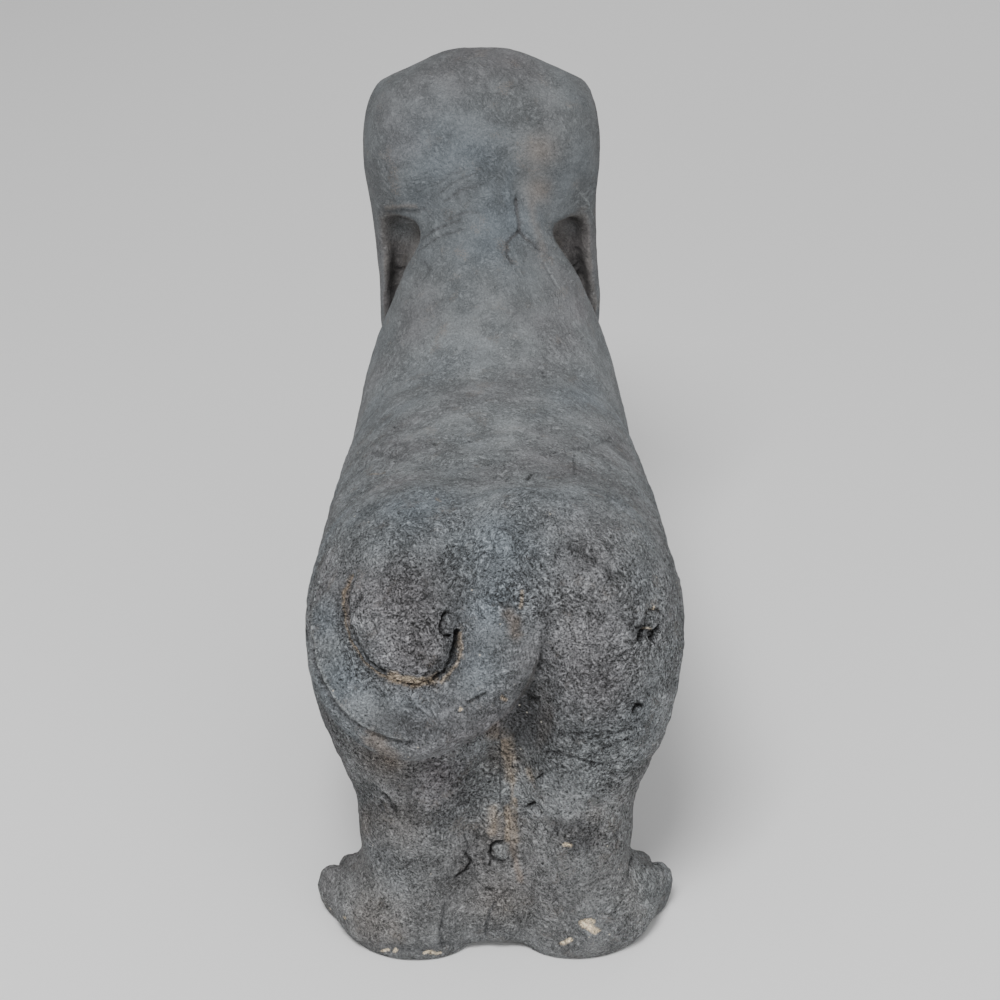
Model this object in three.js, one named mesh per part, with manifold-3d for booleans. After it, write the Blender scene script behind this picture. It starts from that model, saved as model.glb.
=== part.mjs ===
// A standing dachshund, cast in one piece in a rough stone-like mix, as a garden ornament.
//
// The dog looks along +Y, its right side is +X and +Z is up. The origin is on the ground, under the
// middle of its outline. The body is worked like clay: every muscle, limb and fold is a distance field,
// the fields are blended into each other or carved away, and the zero surface of the result is meshed,
// thinned where it is smooth, and cut flat under the paws.

import * as THREE from "three";
import Module from "manifold-3d";

// Driving dimensions, in millimetres.
const STATUE_HEIGHT = 330; // ground to the top of the head
const STATUE_LENGTH = 480; // haunches to the tip of the nose
const STATUE_WIDTH = 170; // across the haunches
const TAIL_THICKNESS = 39; // diameter of the tail where it leaves the rump
const EAR_THICKNESS = 15; // thickness of the hanging part of an ear
const SOLE_ARCH = 3.5; // height of the hollow between the soles of a pair of paws
const MESH_STEP = 3; // spacing of the points where the form is sampled
const TRIANGLES = 9700; // triangles kept in the finished skin

// The pose and the carving are laid out in modules, in a box of 17 across, 48 along and 33 up, so that
// a module is about a centimetre each way. y is counted from the back of the haunches.
const LAYOUT = new THREE.Vector3(17, 48, 33);
const MODULE = new THREE.Vector3(STATUE_WIDTH, STATUE_LENGTH, STATUE_HEIGHT).divide(LAYOUT);
const modules = (millimetres) => millimetres / MODULE.z;

// Fields. Each is a function of x, y and z, in modules, that is negative inside its form.

const { clamp, degToRad, lerp, smoothstep } = THREE.MathUtils;

const length = (x, y, z) => Math.sqrt(x * x + y * y + z * z);

// Joins two fields with a fillet about as wide as blend.
function join(a, b, blend) {
  const near = Math.max(blend - Math.abs(a - b), 0) / blend;
  return Math.min(a, b) - (near * near * blend) / 4;
}

// Cuts the field tool out of the field a, with an edge rounded over about blend.
const carve = (a, tool, blend) => -join(-a, tool, blend);

// An ellipsoid: centre and radii are [x, y, z], and turn is [about x, about y, about z] in degrees.
function ellipsoid(centre, radii, turn = [0, 0, 0]) {
  const [cx, cy, cz] = centre;
  const [rx, ry, rz] = radii;
  const back = new THREE.Matrix4()
    .makeRotationFromEuler(new THREE.Euler(...turn.map(degToRad)))
    .transpose().elements;
  return (x, y, z) => {
    const px = x - cx;
    const py = y - cy;
    const pz = z - cz;
    const qx = (back[0] * px + back[4] * py + back[8] * pz) / rx;
    const qy = (back[1] * px + back[5] * py + back[9] * pz) / ry;
    const qz = (back[2] * px + back[6] * py + back[10] * pz) / rz;
    const share = length(qx, qy, qz);
    const slope = length(qx / rx, qy / ry, qz / rz);
    return slope < 1e-9 ? -Math.min(rx, ry, rz) : (share * (share - 1)) / slope;
  };
}

// A limb through points [x, y, z, radius]. Sideways distances are divided by flat, which makes the
// section an oval that is flat times as wide in x as it is deep. Far from the limb the distance to a
// ball around it is near enough.
const FAR = 4;
function limb(points, flat = 1) {
  const stops = points.map(([x, y, z, r]) => ({ x: x / flat, y, z, r }));
  const ball = new THREE.Sphere().setFromPoints(
    stops.map(({ x, y, z }) => new THREE.Vector3(x, y, z)),
  );
  const { center } = ball;
  const reach = ball.radius + Math.max(...stops.map(({ r }) => r));
  return (x, y, z) => {
    const sideways = x / flat;
    const away = length(sideways - center.x, y - center.y, z - center.z) - reach;
    if (away > FAR) return away * Math.min(flat, 1);
    let nearest = Infinity;
    for (let i = 1; i < stops.length; i++) {
      const a = stops[i - 1];
      const b = stops[i];
      const dx = b.x - a.x;
      const dy = b.y - a.y;
      const dz = b.z - a.z;
      const px = sideways - a.x;
      const py = y - a.y;
      const pz = z - a.z;
      const along = (px * dx + py * dy + pz * dz) / (dx * dx + dy * dy + dz * dz);
      const share = clamp(along, 0, 1);
      const gap = length(px - dx * share, py - dy * share, pz - dz * share);
      nearest = Math.min(nearest, gap - lerp(a.r, b.r, share));
    }
    return nearest * Math.min(flat, 1);
  };
}

// The points of a limb, made closer together along a smooth curve.
function smoothed(points, count) {
  const path = new THREE.CatmullRomCurve3(
    points.map(([x, y, z]) => new THREE.Vector3(x, y, z)),
  );
  const width = new THREE.CatmullRomCurve3(
    points.map((p) => new THREE.Vector3(p[3], 0, 0)),
  );
  return Array.from({ length: count + 1 }, (_, i) => [
    ...path.getPoint(i / count).toArray(),
    width.getPoint(i / count).x,
  ]);
}

// A barrel along y through stations [y, centre z, half width, half height]. Its sections are
// superellipses, so a squareness over 2 flattens the back and the flanks. The ends are rounded.
function barrel(stations, squareness, endBlend) {
  const curves = [1, 2, 3].map(
    (k) =>
      new THREE.SplineCurve(
        stations.map((s) => new THREE.Vector2(s[0], s[k])),
      ),
  );
  const samples = 200;
  const [first, last] = [stations[0][0], stations.at(-1)[0]];
  const table = curves.map((curve) => {
    const values = new Float64Array(samples + 1);
    const points = curve.getPoints(samples * 4);
    let at = 0;
    for (let i = 0; i <= samples; i++) {
      const y = lerp(first, last, i / samples);
      while (at < points.length - 2 && points[at + 1].x < y) at++;
      const [p, q] = [points[at], points[at + 1]];
      values[i] = lerp(p.y, q.y, clamp((y - p.x) / (q.x - p.x), 0, 1));
    }
    return values;
  });
  const [middles, halves, talls] = table;
  return (x, y, z) => {
    const place = clamp((y - first) / (last - first), 0, 1) * samples;
    const i = Math.min(Math.floor(place), samples - 1);
    const middle = lerp(middles[i], middles[i + 1], place - i);
    const half = lerp(halves[i], halves[i + 1], place - i);
    const tall = lerp(talls[i], talls[i + 1], place - i);
    const share =
      (Math.abs(x / half) ** squareness +
        Math.abs((z - middle) / tall) ** squareness) **
      (1 / squareness);
    const side = (share - 1) * Math.min(half, tall);
    return carve(carve(side, y - first, endBlend), last - y, endBlend);
  };
}

// The body: trunk, haunches and shoulders.

const trunk = barrel(
  [
    [1.9, 14.9, 6.9, 5.2],
    [6, 14.4, 8.0, 6.0],
    [12, 13.8, 8.3, 6.1],
    [18, 13.2, 8.1, 6.5],
    [24, 12.8, 7.5, 7.0],
    [29, 12.5, 6.4, 7.3],
    [33, 12.4, 5.5, 6.8],
    [36.4, 12.6, 4.2, 5.4],
  ],
  2.4,
  4.5,
);
const haunch = ellipsoid([4.15, 6.3, 14.0], [3.9, 6.1, 6.2], [-10, -6, 0]);
const buttock = ellipsoid([-3.8, 2.8, 15.1], [2.9, 3.0, 3.1]);
const thigh = limb([
  [4.8, 8.6, 11.4, 3.1],
  [4.5, 8.6, 7.9, 2.0],
  [3.9, 5.6, 4.8, 1.9],
]);
const shoulder = ellipsoid([4.15, 30.9, 14.4], [2.5, 3.1, 5.4], [14, 0, 4]);
const breast = ellipsoid([0, 34.6, 13.2], [3.6, 3.2, 4.4]);

// The legs. A pair of legs is filled between with a recessed web of the same material.

const hindLeg = limb(
  smoothed(
    [
      [3.35, 4.6, 10.6, 3.35],
      [3.4, 3.8, 7.4, 2.75],
      [3.3, 3.4, 3.8, 2.5],
      [3.25, 3.3, 0.8, 2.55],
    ],
    14,
  ),
  1.04,
);
const foreLeg = limb([
  [4.6, 30.6, 11.4, 2.5],
  [4.75, 30.4, 7.4, 2.15],
  [4.5, 31.3, 3.6, 1.95],
  [4.6, 32.2, 1.6, 2.0],
]);
const hindWeb = ellipsoid([0, 5.2, 2.5], [2.8, 3.7, 9.4]);
const cleft = limb(
  smoothed(
    [
      [2.2, 0.2, 17.2, 0.3],
      [1.85, 0.1, 15.6, 0.6],
      [1.55, 0.3, 13.9, 0.85],
      [1.25, 0.7, 12.4, 1.05],
      [0.8, 1.3, 10.4, 0.75],
      [0.35, 1.8, 8.2, 0.4],
    ],
    18,
  ),
);
const foreWeb = ellipsoid([0, 31.6, 3.4], [3.2, 2.0, 7.4]);

// A paw turned outwards by splay degrees, with four toes fanned over its front.
function paw(heel, long, breadth, tall, splay) {
  const out = degToRad(splay);
  const ahead = (reach, across) => [
    heel[0] + Math.sin(out) * reach + Math.cos(out) * across,
    heel[1] + Math.cos(out) * reach - Math.sin(out) * across,
  ];
  const pad = ellipsoid(
    [...ahead(long * 0.36, 0), heel[2]],
    [breadth, long * 0.5, tall],
    [0, 0, -splay],
  );
  const toes = [-1.5, -0.5, 0.5, 1.5].map((place) =>
    ellipsoid(
      [
        ...ahead(long * (0.66 - 0.035 * place * place), place * breadth * 0.43),
        heel[2] * 0.88,
      ],
      [breadth * 0.31, long * 0.3, tall * 0.82],
      [0, 0, -splay - place * 7],
    ),
  );
  return (x, y, z) => {
    let form = pad(x, y, z);
    if (form > FAR) return form - long * 0.3;
    for (const toe of toes) form = join(form, toe(x, y, z), 0.3);
    return form;
  };
}
const hindPaw = paw([4.2, 2.1, 1.1], 5.9, 2.35, 1.8, 27);
const forePaw = paw([4.4, 31.2, 1.5], 6.2, 2.2, 2.1, 12);

// The neck and the head.

const neck = limb(
  smoothed(
    [
      [0, 28.6, 14.2, 5.9],
      [0, 30.6, 18.6, 5.15],
      [0, 33.1, 22.6, 4.2],
      [0, 34.9, 26.2, 3.7],
    ],
    28,
  ),
  1.12,
);
const nape = ellipsoid([0, 34.0, 26.2], [4.1, 3.2, 4.2]);
const skull = ellipsoid([0, 36.0, 28.3], [4.1, 4.9, 4.7]);
const CROWN_FLAT = 0.85; // half width of the flat along the middle of the skull
const muzzle = limb(
  [
    [0, 38.6, 27.3, 3.4],
    [0, 42.4, 26.7, 2.65],
    [0, 45.5, 26.3, 2.05],
  ],
  1.02,
);
const jaw = limb([
  [0, 37.4, 25.0, 2.8],
  [0, 41.0, 24.6, 2.1],
  [0, 44.7, 24.5, 1.45],
]);
const nose = ellipsoid([0, 47.0, 27.35], [1.35, 1.0, 0.95], [-12, 0, 0]);
const cheek = ellipsoid([2.9, 37.8, 26.2], [2.1, 3.1, 2.6]);
const brow = ellipsoid([2.1, 39.2, 30.75], [1.8, 1.35, 0.95], [-20, 18, 0]);
const socket = ellipsoid([3.1, 40.6, 29.15], [1.4, 1.4, 1.15]);
const eye = ellipsoid([2.55, 39.5, 29.1], [1.15, 1.15, 1.0]);
const mouth = limb(
  smoothed(
    [
      [0, 46.9, 24.7, 0.22],
      [1.0, 46.3, 24.7, 0.22],
      [1.75, 44.4, 24.8, 0.24],
      [2.3, 41.9, 24.95, 0.26],
      [2.85, 40.9, 25.3, 0.22],
    ],
    12,
  ),
);
const nostril = ellipsoid([0.75, 47.9, 27.3], [0.4, 0.5, 0.34], [0, 0, 30]);

// An ear is set on level with the eye. Its leather is thick at the top and hangs past the jaw as a
// broad round flap.
const earHalf = modules(EAR_THICKNESS) / 2;
const earRoot = ellipsoid([4.1, 34.9, 27.9], [1.9, 3.2, 3.7], [0, 6, 0]);
const earTop = ellipsoid([4.8, 36.1, 27.0], [earHalf * 1.5, 3.1, 4.1], [0, 4, 0]);
const earFlap = ellipsoid([5.12, 36.3, 21.4], [earHalf, 3.2, 5.1], [-4, -5, 6]);
const earBacking = ellipsoid([4.0, 37.2, 22.8], [1.3, 1.7, 4.4]);

// The hollow behind an ear starts under a ledge at the root of the ear, where it is widest, and runs
// out where the neck widens.
const HOLLOW_LEDGE = 24.8;
const hollowTop = ellipsoid([4.3, 32.5, 24.1], [1.12, 1.6, 2.2], [0, -10, 0]);
const hollowFoot = ellipsoid([4.92, 32.6, 21.3], [0.45, 1.7, 3.3], [0, -7, 0]);
const earHollow = (side, y, z) =>
  Math.max(join(hollowTop(side, y, z), hollowFoot(side, y, z), 0.5), z - HOLLOW_LEDGE);

// The tail drops from the rump and curls up round the left haunch. Its points are [x, z, radius, sink]:
// each lies on the surface at the back of the dog, the radius is a share of the first, and sink is the
// share of its radius that it is sunk by.
const tailStart = modules(TAIL_THICKNESS) / 2;
const tailRoute = [
  [1.0, 19.3, 0.85, 1.05],
  [0.85, 18.4, 0.92, 0.85],
  [0.6, 17.2, 1, 0.5],
  [0.3, 15.8, 1, 0.2],
  [-0.45, 14.3, 0.94, 0.05],
  [-2.0, 13.1, 0.84, 0.05],
  [-3.9, 12.65, 0.76, 0.1],
  [-5.75, 13.2, 0.68, 0.15],
  [-7.0, 14.6, 0.58, 0.25],
  [-7.25, 16.2, 0.44, 0.3],
  [-6.8, 17.5, 0.22, 0.4],
];

// The parts that the dog has on both sides are made once, for x over 0, and mirrored.
function body(x, y, z) {
  const side = Math.abs(x);
  let form = trunk(x, y, z);
  form = join(form, breast(x, y, z), 2);
  form = join(form, neck(x, y, z), 2.6);
  form = join(form, haunch(side, y, z), 1.6);
  form = join(form, thigh(side, y, z), 1.2);
  form = join(form, buttock(x, y, z), 1.0);
  form = join(form, shoulder(side, y, z), 0.9);
  form = join(form, hindLeg(side, y, z), 2.2);
  form = join(form, foreLeg(side, y, z), 1.4);
  form = carve(form, cleft(x, y, z), 0.7);
  form = join(form, hindWeb(x, y, z), 0.9);
  form = join(form, foreWeb(x, y, z), 0.9);
  form = join(form, hindPaw(side, y, z), 1.7);
  return join(form, forePaw(side, y, z), 0.9);
}

function head(x, y, z) {
  const side = Math.abs(x);
  let form = skull(Math.max(side - CROWN_FLAT, 0), y, z);
  form = join(form, nape(x, y, z), 1.6);
  form = join(form, cheek(side, y, z), 1.4);
  form = join(form, muzzle(x, y, z), 1.6);
  form = join(form, jaw(x, y, z), 1.1);
  form = join(form, brow(side, y, z), 0.9);
  form = carve(form, socket(side, y, z), 0.6);
  form = join(form, eye(side, y, z), 0.15);
  form = join(form, nose(x, y, z), 0.35);
  form = join(form, earRoot(side, y, z), 2.4);
  form = carve(form, mouth(side, y, z), 0.2);
  return carve(form, nostril(side, y, z), 0.2);
}

function ear(side, y, z) {
  const leather = join(earTop(side, y, z), earFlap(side, y, z), 2.2);
  return join(leather, earBacking(side, y, z), 0.8);
}

// Where a straight line from behind the dog, at this x and z, first meets a field. Each step forward
// is a share of the distance still to go.
function rearSurface(field, x, z) {
  const share = 0.7;
  const near = 0.005;
  let y = -4;
  for (let left = field(x, y, z); left > near; left = field(x, y, z)) y += left * share;
  return y;
}

const tail = limb(
  smoothed(
    tailRoute.map(([x, z, share, sink]) => {
      const radius = share * tailStart;
      return [x, rearSurface(body, x, z) + radius * sink, z, radius];
    }),
    36,
  ),
);

// The tail grows out of the rump in a broad slope, and stands clear of the haunch further down.
const tailBlend = (x, z) =>
  lerp(0.3, 2.2, smoothstep(z, 15.2, 18.8) * smoothstep(x, -4.5, -1.5));

// The head sits a little left of the middle of the body.
const HEAD_LEAN = 0.42;
const lean = (z) => HEAD_LEAN * smoothstep(z, 19, 27);
const archHalf = modules(SOLE_ARCH);

// The clay goes on a little below the ground, and is cut flat there afterwards.
const SOLE_SPARE = 0.7;

function dog(x, y, z) {
  const turned = x + lean(z);
  const torso = carve(body(x, y, z), Math.hypot(x / 4, z) - archHalf, 0.3);
  const whole = join(torso, head(turned, y, z), 1.2);
  const side = Math.abs(turned);
  const eared = carve(join(whole, ear(side, y, z), 0.8), earHollow(side, y, z), 0.3);
  return Math.max(join(eared, tail(x, y, z), tailBlend(x, z)), -z - SOLE_SPARE);
}

// Meshing. The form is sampled on a grid of cells, whose outermost points are outside, so that the skin
// is closed. Each cell that the surface passes through gets one vertex, at the mean of the crossings on
// its edges, and each grid edge that crosses gets one quad.

const room = new THREE.Vector3(2, 2.5, 2); // left free around the layout's box
const low = new THREE.Vector3(-LAYOUT.x / 2, 0, 0).sub(room);
const high = new THREE.Vector3(LAYOUT.x / 2, LAYOUT.y, LAYOUT.z).add(room);
const step = modules(MESH_STEP);

function sampled(field) {
  const count = high.clone().sub(low).divideScalar(step).ceil().toArray();
  const [nx, ny, nz] = count.map((n) => n + 1);
  const values = new Float32Array(nx * ny * nz);
  const block = 6;
  const reach = block * step * 1.6;
  const border = (i, n) => i === 0 || i === n - 1;
  for (let bz = 0; bz < nz; bz += block)
    for (let by = 0; by < ny; by += block)
      for (let bx = 0; bx < nx; bx += block) {
        const half = (block * step) / 2;
        const middle = field(
          low.x + bx * step + half,
          low.y + by * step + half,
          low.z + bz * step + half,
        );
        const far = Math.abs(middle) > reach;
        for (let k = bz; k < Math.min(bz + block, nz); k++)
          for (let j = by; j < Math.min(by + block, ny); j++)
            for (let i = bx; i < Math.min(bx + block, nx); i++) {
              const value = far
                ? middle
                : field(low.x + i * step, low.y + j * step, low.z + k * step);
              const outermost = border(i, nx) || border(j, ny) || border(k, nz);
              values[(k * ny + j) * nx + i] = outermost ? Math.max(value, step) : value;
            }
      }
  return { values, nx, ny, nz };
}

// The offsets of a cell's eight corners from its first. Bits 1, 2 and 4 of a corner's number stand for
// a step along x, y and z.
const cornerOffsets = (nx, ny) =>
  Array.from({ length: 8 }, (_, c) => (c & 1) + ((c >> 1) & 1) * nx + (c >> 2) * nx * ny);

// Two parts of the clay that touch only along an edge or at a corner of a cell would pinch the skin
// there, so such a spot is filled: one of the empty corners beside it becomes just solid.
function withoutPinches({ values, nx, ny, nz }) {
  const corners = cornerOffsets(nx, ny);
  const pinches = [];
  for (let a = 0; a < 8; a++)
    for (const [s, t] of [[1, 2], [1, 4], [2, 4]])
      if (!(a & (s | t))) {
        pinches.push({ solid: [a, a | s | t], empty: [a | s, a | t] });
        pinches.push({ solid: [a | s, a | t], empty: [a, a | s | t] });
      }
  for (let a = 0; a < 4; a++) {
    const others = [0, 1, 2, 3, 4, 5, 6, 7].filter((c) => c !== a && c !== 7 - a);
    pinches.push({ solid: [a, 7 - a], empty: others });
    pinches.push({ solid: others, empty: [a, 7 - a] });
  }
  for (let again = true; again; ) {
    again = false;
    for (let k = 0; k < nz - 1; k++)
      for (let j = 0; j < ny - 1; j++)
        for (let i = 0; i < nx - 1; i++) {
          const cell = (k * ny + j) * nx + i;
          let solidCorners = 0;
          for (let c = 0; c < 8; c++) if (values[cell + corners[c]] < 0) solidCorners |= 1 << c;
          if (solidCorners === 0 || solidCorners === 255) continue;
          for (const { solid, empty } of pinches) {
            if (!solid.every((c) => solidCorners & (1 << c))) continue;
            if (empty.some((c) => solidCorners & (1 << c))) continue;
            const place = empty.map((c) => cell + corners[c]);
            const nearest = place.reduce((p, q) => (values[q] < values[p] ? q : p));
            values[nearest] = -0.01 * step;
            again = true;
            break;
          }
        }
  }
  return { values, nx, ny, nz };
}

function netSurface({ values, nx, ny, nz }) {
  const along = [1, nx, nx * ny];
  const corners = cornerOffsets(nx, ny);
  const edges = [];
  for (let a = 0; a < 8; a++)
    for (const bit of [1, 2, 4]) if (!(a & bit)) edges.push([a, a | bit]);
  const vertexOf = new Map();
  const positions = [];
  for (let k = 0; k < nz - 1; k++)
    for (let j = 0; j < ny - 1; j++)
      for (let i = 0; i < nx - 1; i++) {
        const cell = (k * ny + j) * nx + i;
        const sum = [0, 0, 0];
        let crossings = 0;
        for (const [a, b] of edges) {
          const [va, vb] = [values[cell + corners[a]], values[cell + corners[b]]];
          if (va < 0 === vb < 0) continue;
          const share = va / (va - vb);
          for (let axis = 0; axis < 3; axis++)
            sum[axis] += lerp((a >> axis) & 1, (b >> axis) & 1, share);
          crossings++;
        }
        if (!crossings) continue;
        vertexOf.set(cell, positions.length / 3);
        positions.push(
          low.x + (i + sum[0] / crossings) * step,
          low.y + (j + sum[1] / crossings) * step,
          low.z + (k + sum[2] / crossings) * step,
        );
      }
  const triangles = [];
  for (let k = 1; k < nz - 1; k++)
    for (let j = 1; j < ny - 1; j++)
      for (let i = 1; i < nx - 1; i++) {
        const here = (k * ny + j) * nx + i;
        for (let axis = 0; axis < 3; axis++) {
          const inside = values[here] < 0;
          if (inside === values[here + along[axis]] < 0) continue;
          const [u, v] = [along[(axis + 1) % 3], along[(axis + 2) % 3]];
          const [a, b, c, d] = [here, here - u, here - u - v, here - v].map((cell) =>
            vertexOf.get(cell),
          );
          if (inside) triangles.push(a, b, c, a, c, d);
          else triangles.push(a, c, b, a, d, c);
        }
      }
  return { positions, triangles };
}

// Thinning. Edges are collapsed in the order of the error that they leave, which is the sum of squared
// distances to the planes of the faces that the two ends have stood for. Flat stretches so lose most,
// and the face, which lies in front of faceFrom and above faceAbove, is kept finer than the rest.

const faceFrom = 38.5;
const faceAbove = 23;
const faceWeight = 5;
const slimness = 2e-4; // cost of a long edge
const leastCosine = 0.3; // a face may turn this far in one collapse
const leastShape = 0.06; // twice the area of a face over the square of its longest side
const flatEnough = 1e-7; // an edge with less curvature than this has no single best point

class Heap {
  constructor() {
    this.items = [];
  }
  push(item) {
    const heap = this.items;
    let at = heap.push(item) - 1;
    while (at && heap[(at - 1) >> 1].cost > item.cost) {
      heap[at] = heap[(at - 1) >> 1];
      at = (at - 1) >> 1;
    }
    heap[at] = item;
  }
  pop() {
    const heap = this.items;
    const top = heap[0];
    const item = heap.pop();
    if (!heap.length) return top;
    let at = 0;
    for (let next = 1; next < heap.length; next = 2 * at + 1) {
      if (next + 1 < heap.length && heap[next + 1].cost < heap[next].cost) next++;
      if (heap[next].cost >= item.cost) break;
      heap[at] = heap[next];
      at = next;
    }
    heap[at] = item;
    return top;
  }
}

function thinned({ positions, triangles }, keep) {
  const points = [];
  for (let i = 0; i < positions.length; i += 3)
    points.push(new THREE.Vector3().fromArray(positions, i));
  const faces = [];
  for (let i = 0; i < triangles.length; i += 3) faces.push(triangles.slice(i, i + 3));
  const around = points.map(() => new Set());
  faces.forEach((face, f) => face.forEach((v) => around[v].add(f)));
  const errors = points.map(() => new Float64Array(10));
  const ages = new Uint32Array(points.length);
  const normalOf = (a, b, c) => b.clone().sub(a).cross(c.clone().sub(a));

  for (const face of faces) {
    const [a, b, c] = face.map((v) => points[v]);
    const normal = normalOf(a, b, c);
    const inFace = a.y > faceFrom && a.z > faceAbove;
    const weight = normal.length() * (inFace ? faceWeight : 1);
    normal.normalize();
    const plane = [normal.x, normal.y, normal.z, -normal.dot(a)];
    for (const v of face)
      for (let i = 0, n = 0; i < 4; i++)
        for (let j = i; j < 4; j++) errors[v][n++] += plane[i] * plane[j] * weight;
  }
  const errorAt = (q, { x, y, z }) =>
    q[0] * x * x + 2 * q[1] * x * y + 2 * q[2] * x * z + 2 * q[3] * x +
    q[4] * y * y + 2 * q[5] * y * z + 2 * q[6] * y +
    q[7] * z * z + 2 * q[8] * z + q[9];

  // The point of least error for an edge, or the best of its ends and middle on a flat stretch.
  function bestPoint(q, a, b) {
    const solve = new THREE.Matrix3().set(q[0], q[1], q[2], q[1], q[4], q[5], q[2], q[5], q[7]);
    const middle = a.clone().add(b).multiplyScalar(0.5);
    if (Math.abs(solve.determinant()) > flatEnough) {
      const point = new THREE.Vector3(-q[3], -q[6], -q[8]).applyMatrix3(solve.invert());
      if (point.distanceTo(middle) < a.distanceTo(b)) return point;
    }
    return [middle, a.clone(), b.clone()].reduce((best, point) =>
      errorAt(q, point) < errorAt(q, best) ? point : best,
    );
  }

  const heap = new Heap();
  function offer(a, b) {
    const q = errors[a].map((value, i) => value + errors[b][i]);
    const point = bestPoint(q, points[a], points[b]);
    const square = points[a].distanceToSquared(points[b]);
    const cost = Math.max(errorAt(q, point), 0) + slimness * square * square;
    heap.push({ cost, a, b, q, point, ageA: ages[a], ageB: ages[b] });
  }
  const neighbours = (v) => {
    const found = new Set();
    for (const f of around[v]) for (const w of faces[f]) if (w !== v) found.add(w);
    return found;
  };
  const turnsOver = (v, gone, point) => {
    for (const f of around[v]) {
      if (faces[f].includes(gone)) continue;
      const old = faces[f].map((w) => points[w]);
      const moved = faces[f].map((w) => (w === v ? point : points[w]));
      const [before, after] = [normalOf(...old), normalOf(...moved)];
      if (before.dot(after) < leastCosine * before.length() * after.length()) return true;
      const longest = Math.max(...moved.map((p, i) => p.distanceToSquared(moved[(i + 1) % 3])));
      if (after.length() < leastShape * longest) return true;
    }
    return false;
  };

  points.forEach((_, v) => {
    for (const w of neighbours(v)) if (v < w) offer(v, w);
  });
  let left = faces.length;
  while (left > keep && heap.items.length) {
    const { a, b, q, point, ageA, ageB } = heap.pop();
    if (ages[a] !== ageA || ages[b] !== ageB) continue;
    const [nearA, nearB] = [neighbours(a), neighbours(b)];
    const shared = [...nearA].filter((v) => nearB.has(v));
    if (shared.length !== 2 || turnsOver(a, b, point) || turnsOver(b, a, point)) continue;
    for (const f of [...around[b]]) {
      if (faces[f].includes(a)) {
        for (const v of faces[f]) around[v].delete(f);
        faces[f] = null;
        left--;
      } else {
        faces[f][faces[f].indexOf(b)] = a;
        around[a].add(f);
      }
    }
    around[b].clear();
    points[a] = point;
    errors[a] = q;
    ages[a]++;
    ages[b]++;
    for (const v of neighbours(a)) offer(a, v);
  }
  return { points, faces: faces.filter(Boolean) };
}

// The skin as a solid, in millimetres, with the soles cut flat on the ground.

const wasm = await Module();
wasm.setup();

function solidOf(points, faces) {
  const used = new Map();
  const vertices = [];
  const triVerts = new Uint32Array(
    faces.flat().map((v) => {
      if (!used.has(v)) {
        used.set(v, used.size);
        vertices.push(...points[v].clone().multiply(MODULE).toArray());
      }
      return used.get(v);
    }),
  );
  const vertProperties = new Float32Array(vertices);
  return new wasm.Manifold(new wasm.Mesh({ numProp: 3, vertProperties, triVerts }));
}

function groundBlock() {
  const size = Math.max(STATUE_LENGTH, STATUE_WIDTH) * 3;
  const box = new THREE.BoxGeometry(size, size, size).translate(0, 0, -size / 2);
  const corners = [];
  const triVerts = [];
  const place = box.getAttribute("position");
  for (const i of box.index.array) {
    const corner = new THREE.Vector3().fromBufferAttribute(place, i);
    let found = corners.findIndex((c) => c.distanceTo(corner) < 1e-6);
    if (found < 0) found = corners.push(corner) - 1;
    triVerts.push(found);
  }
  return new wasm.Manifold(
    new wasm.Mesh({
      numProp: 3,
      vertProperties: new Float32Array(corners.flatMap((c) => c.toArray())),
      triVerts: new Uint32Array(triVerts),
    }),
  );
}

function geometryOf(solid) {
  const mesh = solid.getMesh();
  return new THREE.BufferGeometry()
    .setAttribute("position", new THREE.BufferAttribute(mesh.vertProperties, 3))
    .setIndex(new THREE.BufferAttribute(mesh.triVerts, 1));
}

const net = netSurface(withoutPinches(sampled(dog)));
const { points, faces } = thinned(net, TRIANGLES);
const standing = solidOf(points, faces).subtract(groundBlock());
const geometry = geometryOf(standing);
geometry.computeBoundingBox();
const middle = geometry.boundingBox.getCenter(new THREE.Vector3());
geometry.translate(-middle.x, -middle.y, 0);
geometry.computeVertexNormals();

const castStone = new THREE.MeshStandardMaterial({
  color: 0x66696b,
  roughness: 0.92,
  metalness: 0,
});
const dachshund = new THREE.Mesh(geometry, castStone);
dachshund.name = "dog";

const statue = new THREE.Group();
statue.add(dachshund);

export default statue;
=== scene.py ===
"""A standing dachshund, cast in one piece in a rough stone-like mix, seen from behind and above.

The dog looks along +Y, its right side is +X and +Z is up. The skin of the CAD solid is remeshed, its
points are set on the same clay-like form in full detail, and then the worked surface is laid over it:
broad unevenness, crinkled strokes, seams, cracks, pits and chips. Blender's material adds the grain.
"""

import logging
from collections.abc import Callable, Sequence
from dataclasses import dataclass, field
from enum import Enum

import bmesh
import bpy
import numpy as np
from mathutils import Matrix, Vector


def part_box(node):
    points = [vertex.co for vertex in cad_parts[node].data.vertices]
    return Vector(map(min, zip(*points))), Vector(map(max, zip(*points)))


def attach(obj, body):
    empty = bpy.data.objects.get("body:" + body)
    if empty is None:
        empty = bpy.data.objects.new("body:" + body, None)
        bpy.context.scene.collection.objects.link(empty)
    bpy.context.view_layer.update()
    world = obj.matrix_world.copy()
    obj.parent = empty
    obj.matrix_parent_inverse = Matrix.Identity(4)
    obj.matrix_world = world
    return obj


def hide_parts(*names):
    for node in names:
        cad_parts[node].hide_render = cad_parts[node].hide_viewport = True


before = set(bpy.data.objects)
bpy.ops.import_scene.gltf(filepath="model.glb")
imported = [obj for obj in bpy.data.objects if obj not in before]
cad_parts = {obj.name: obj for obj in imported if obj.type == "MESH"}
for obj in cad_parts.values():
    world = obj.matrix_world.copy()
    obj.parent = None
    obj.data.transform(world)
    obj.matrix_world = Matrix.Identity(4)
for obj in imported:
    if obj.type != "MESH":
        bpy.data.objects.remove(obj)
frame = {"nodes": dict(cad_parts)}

LOG = logging.getLogger("statue")
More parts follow.
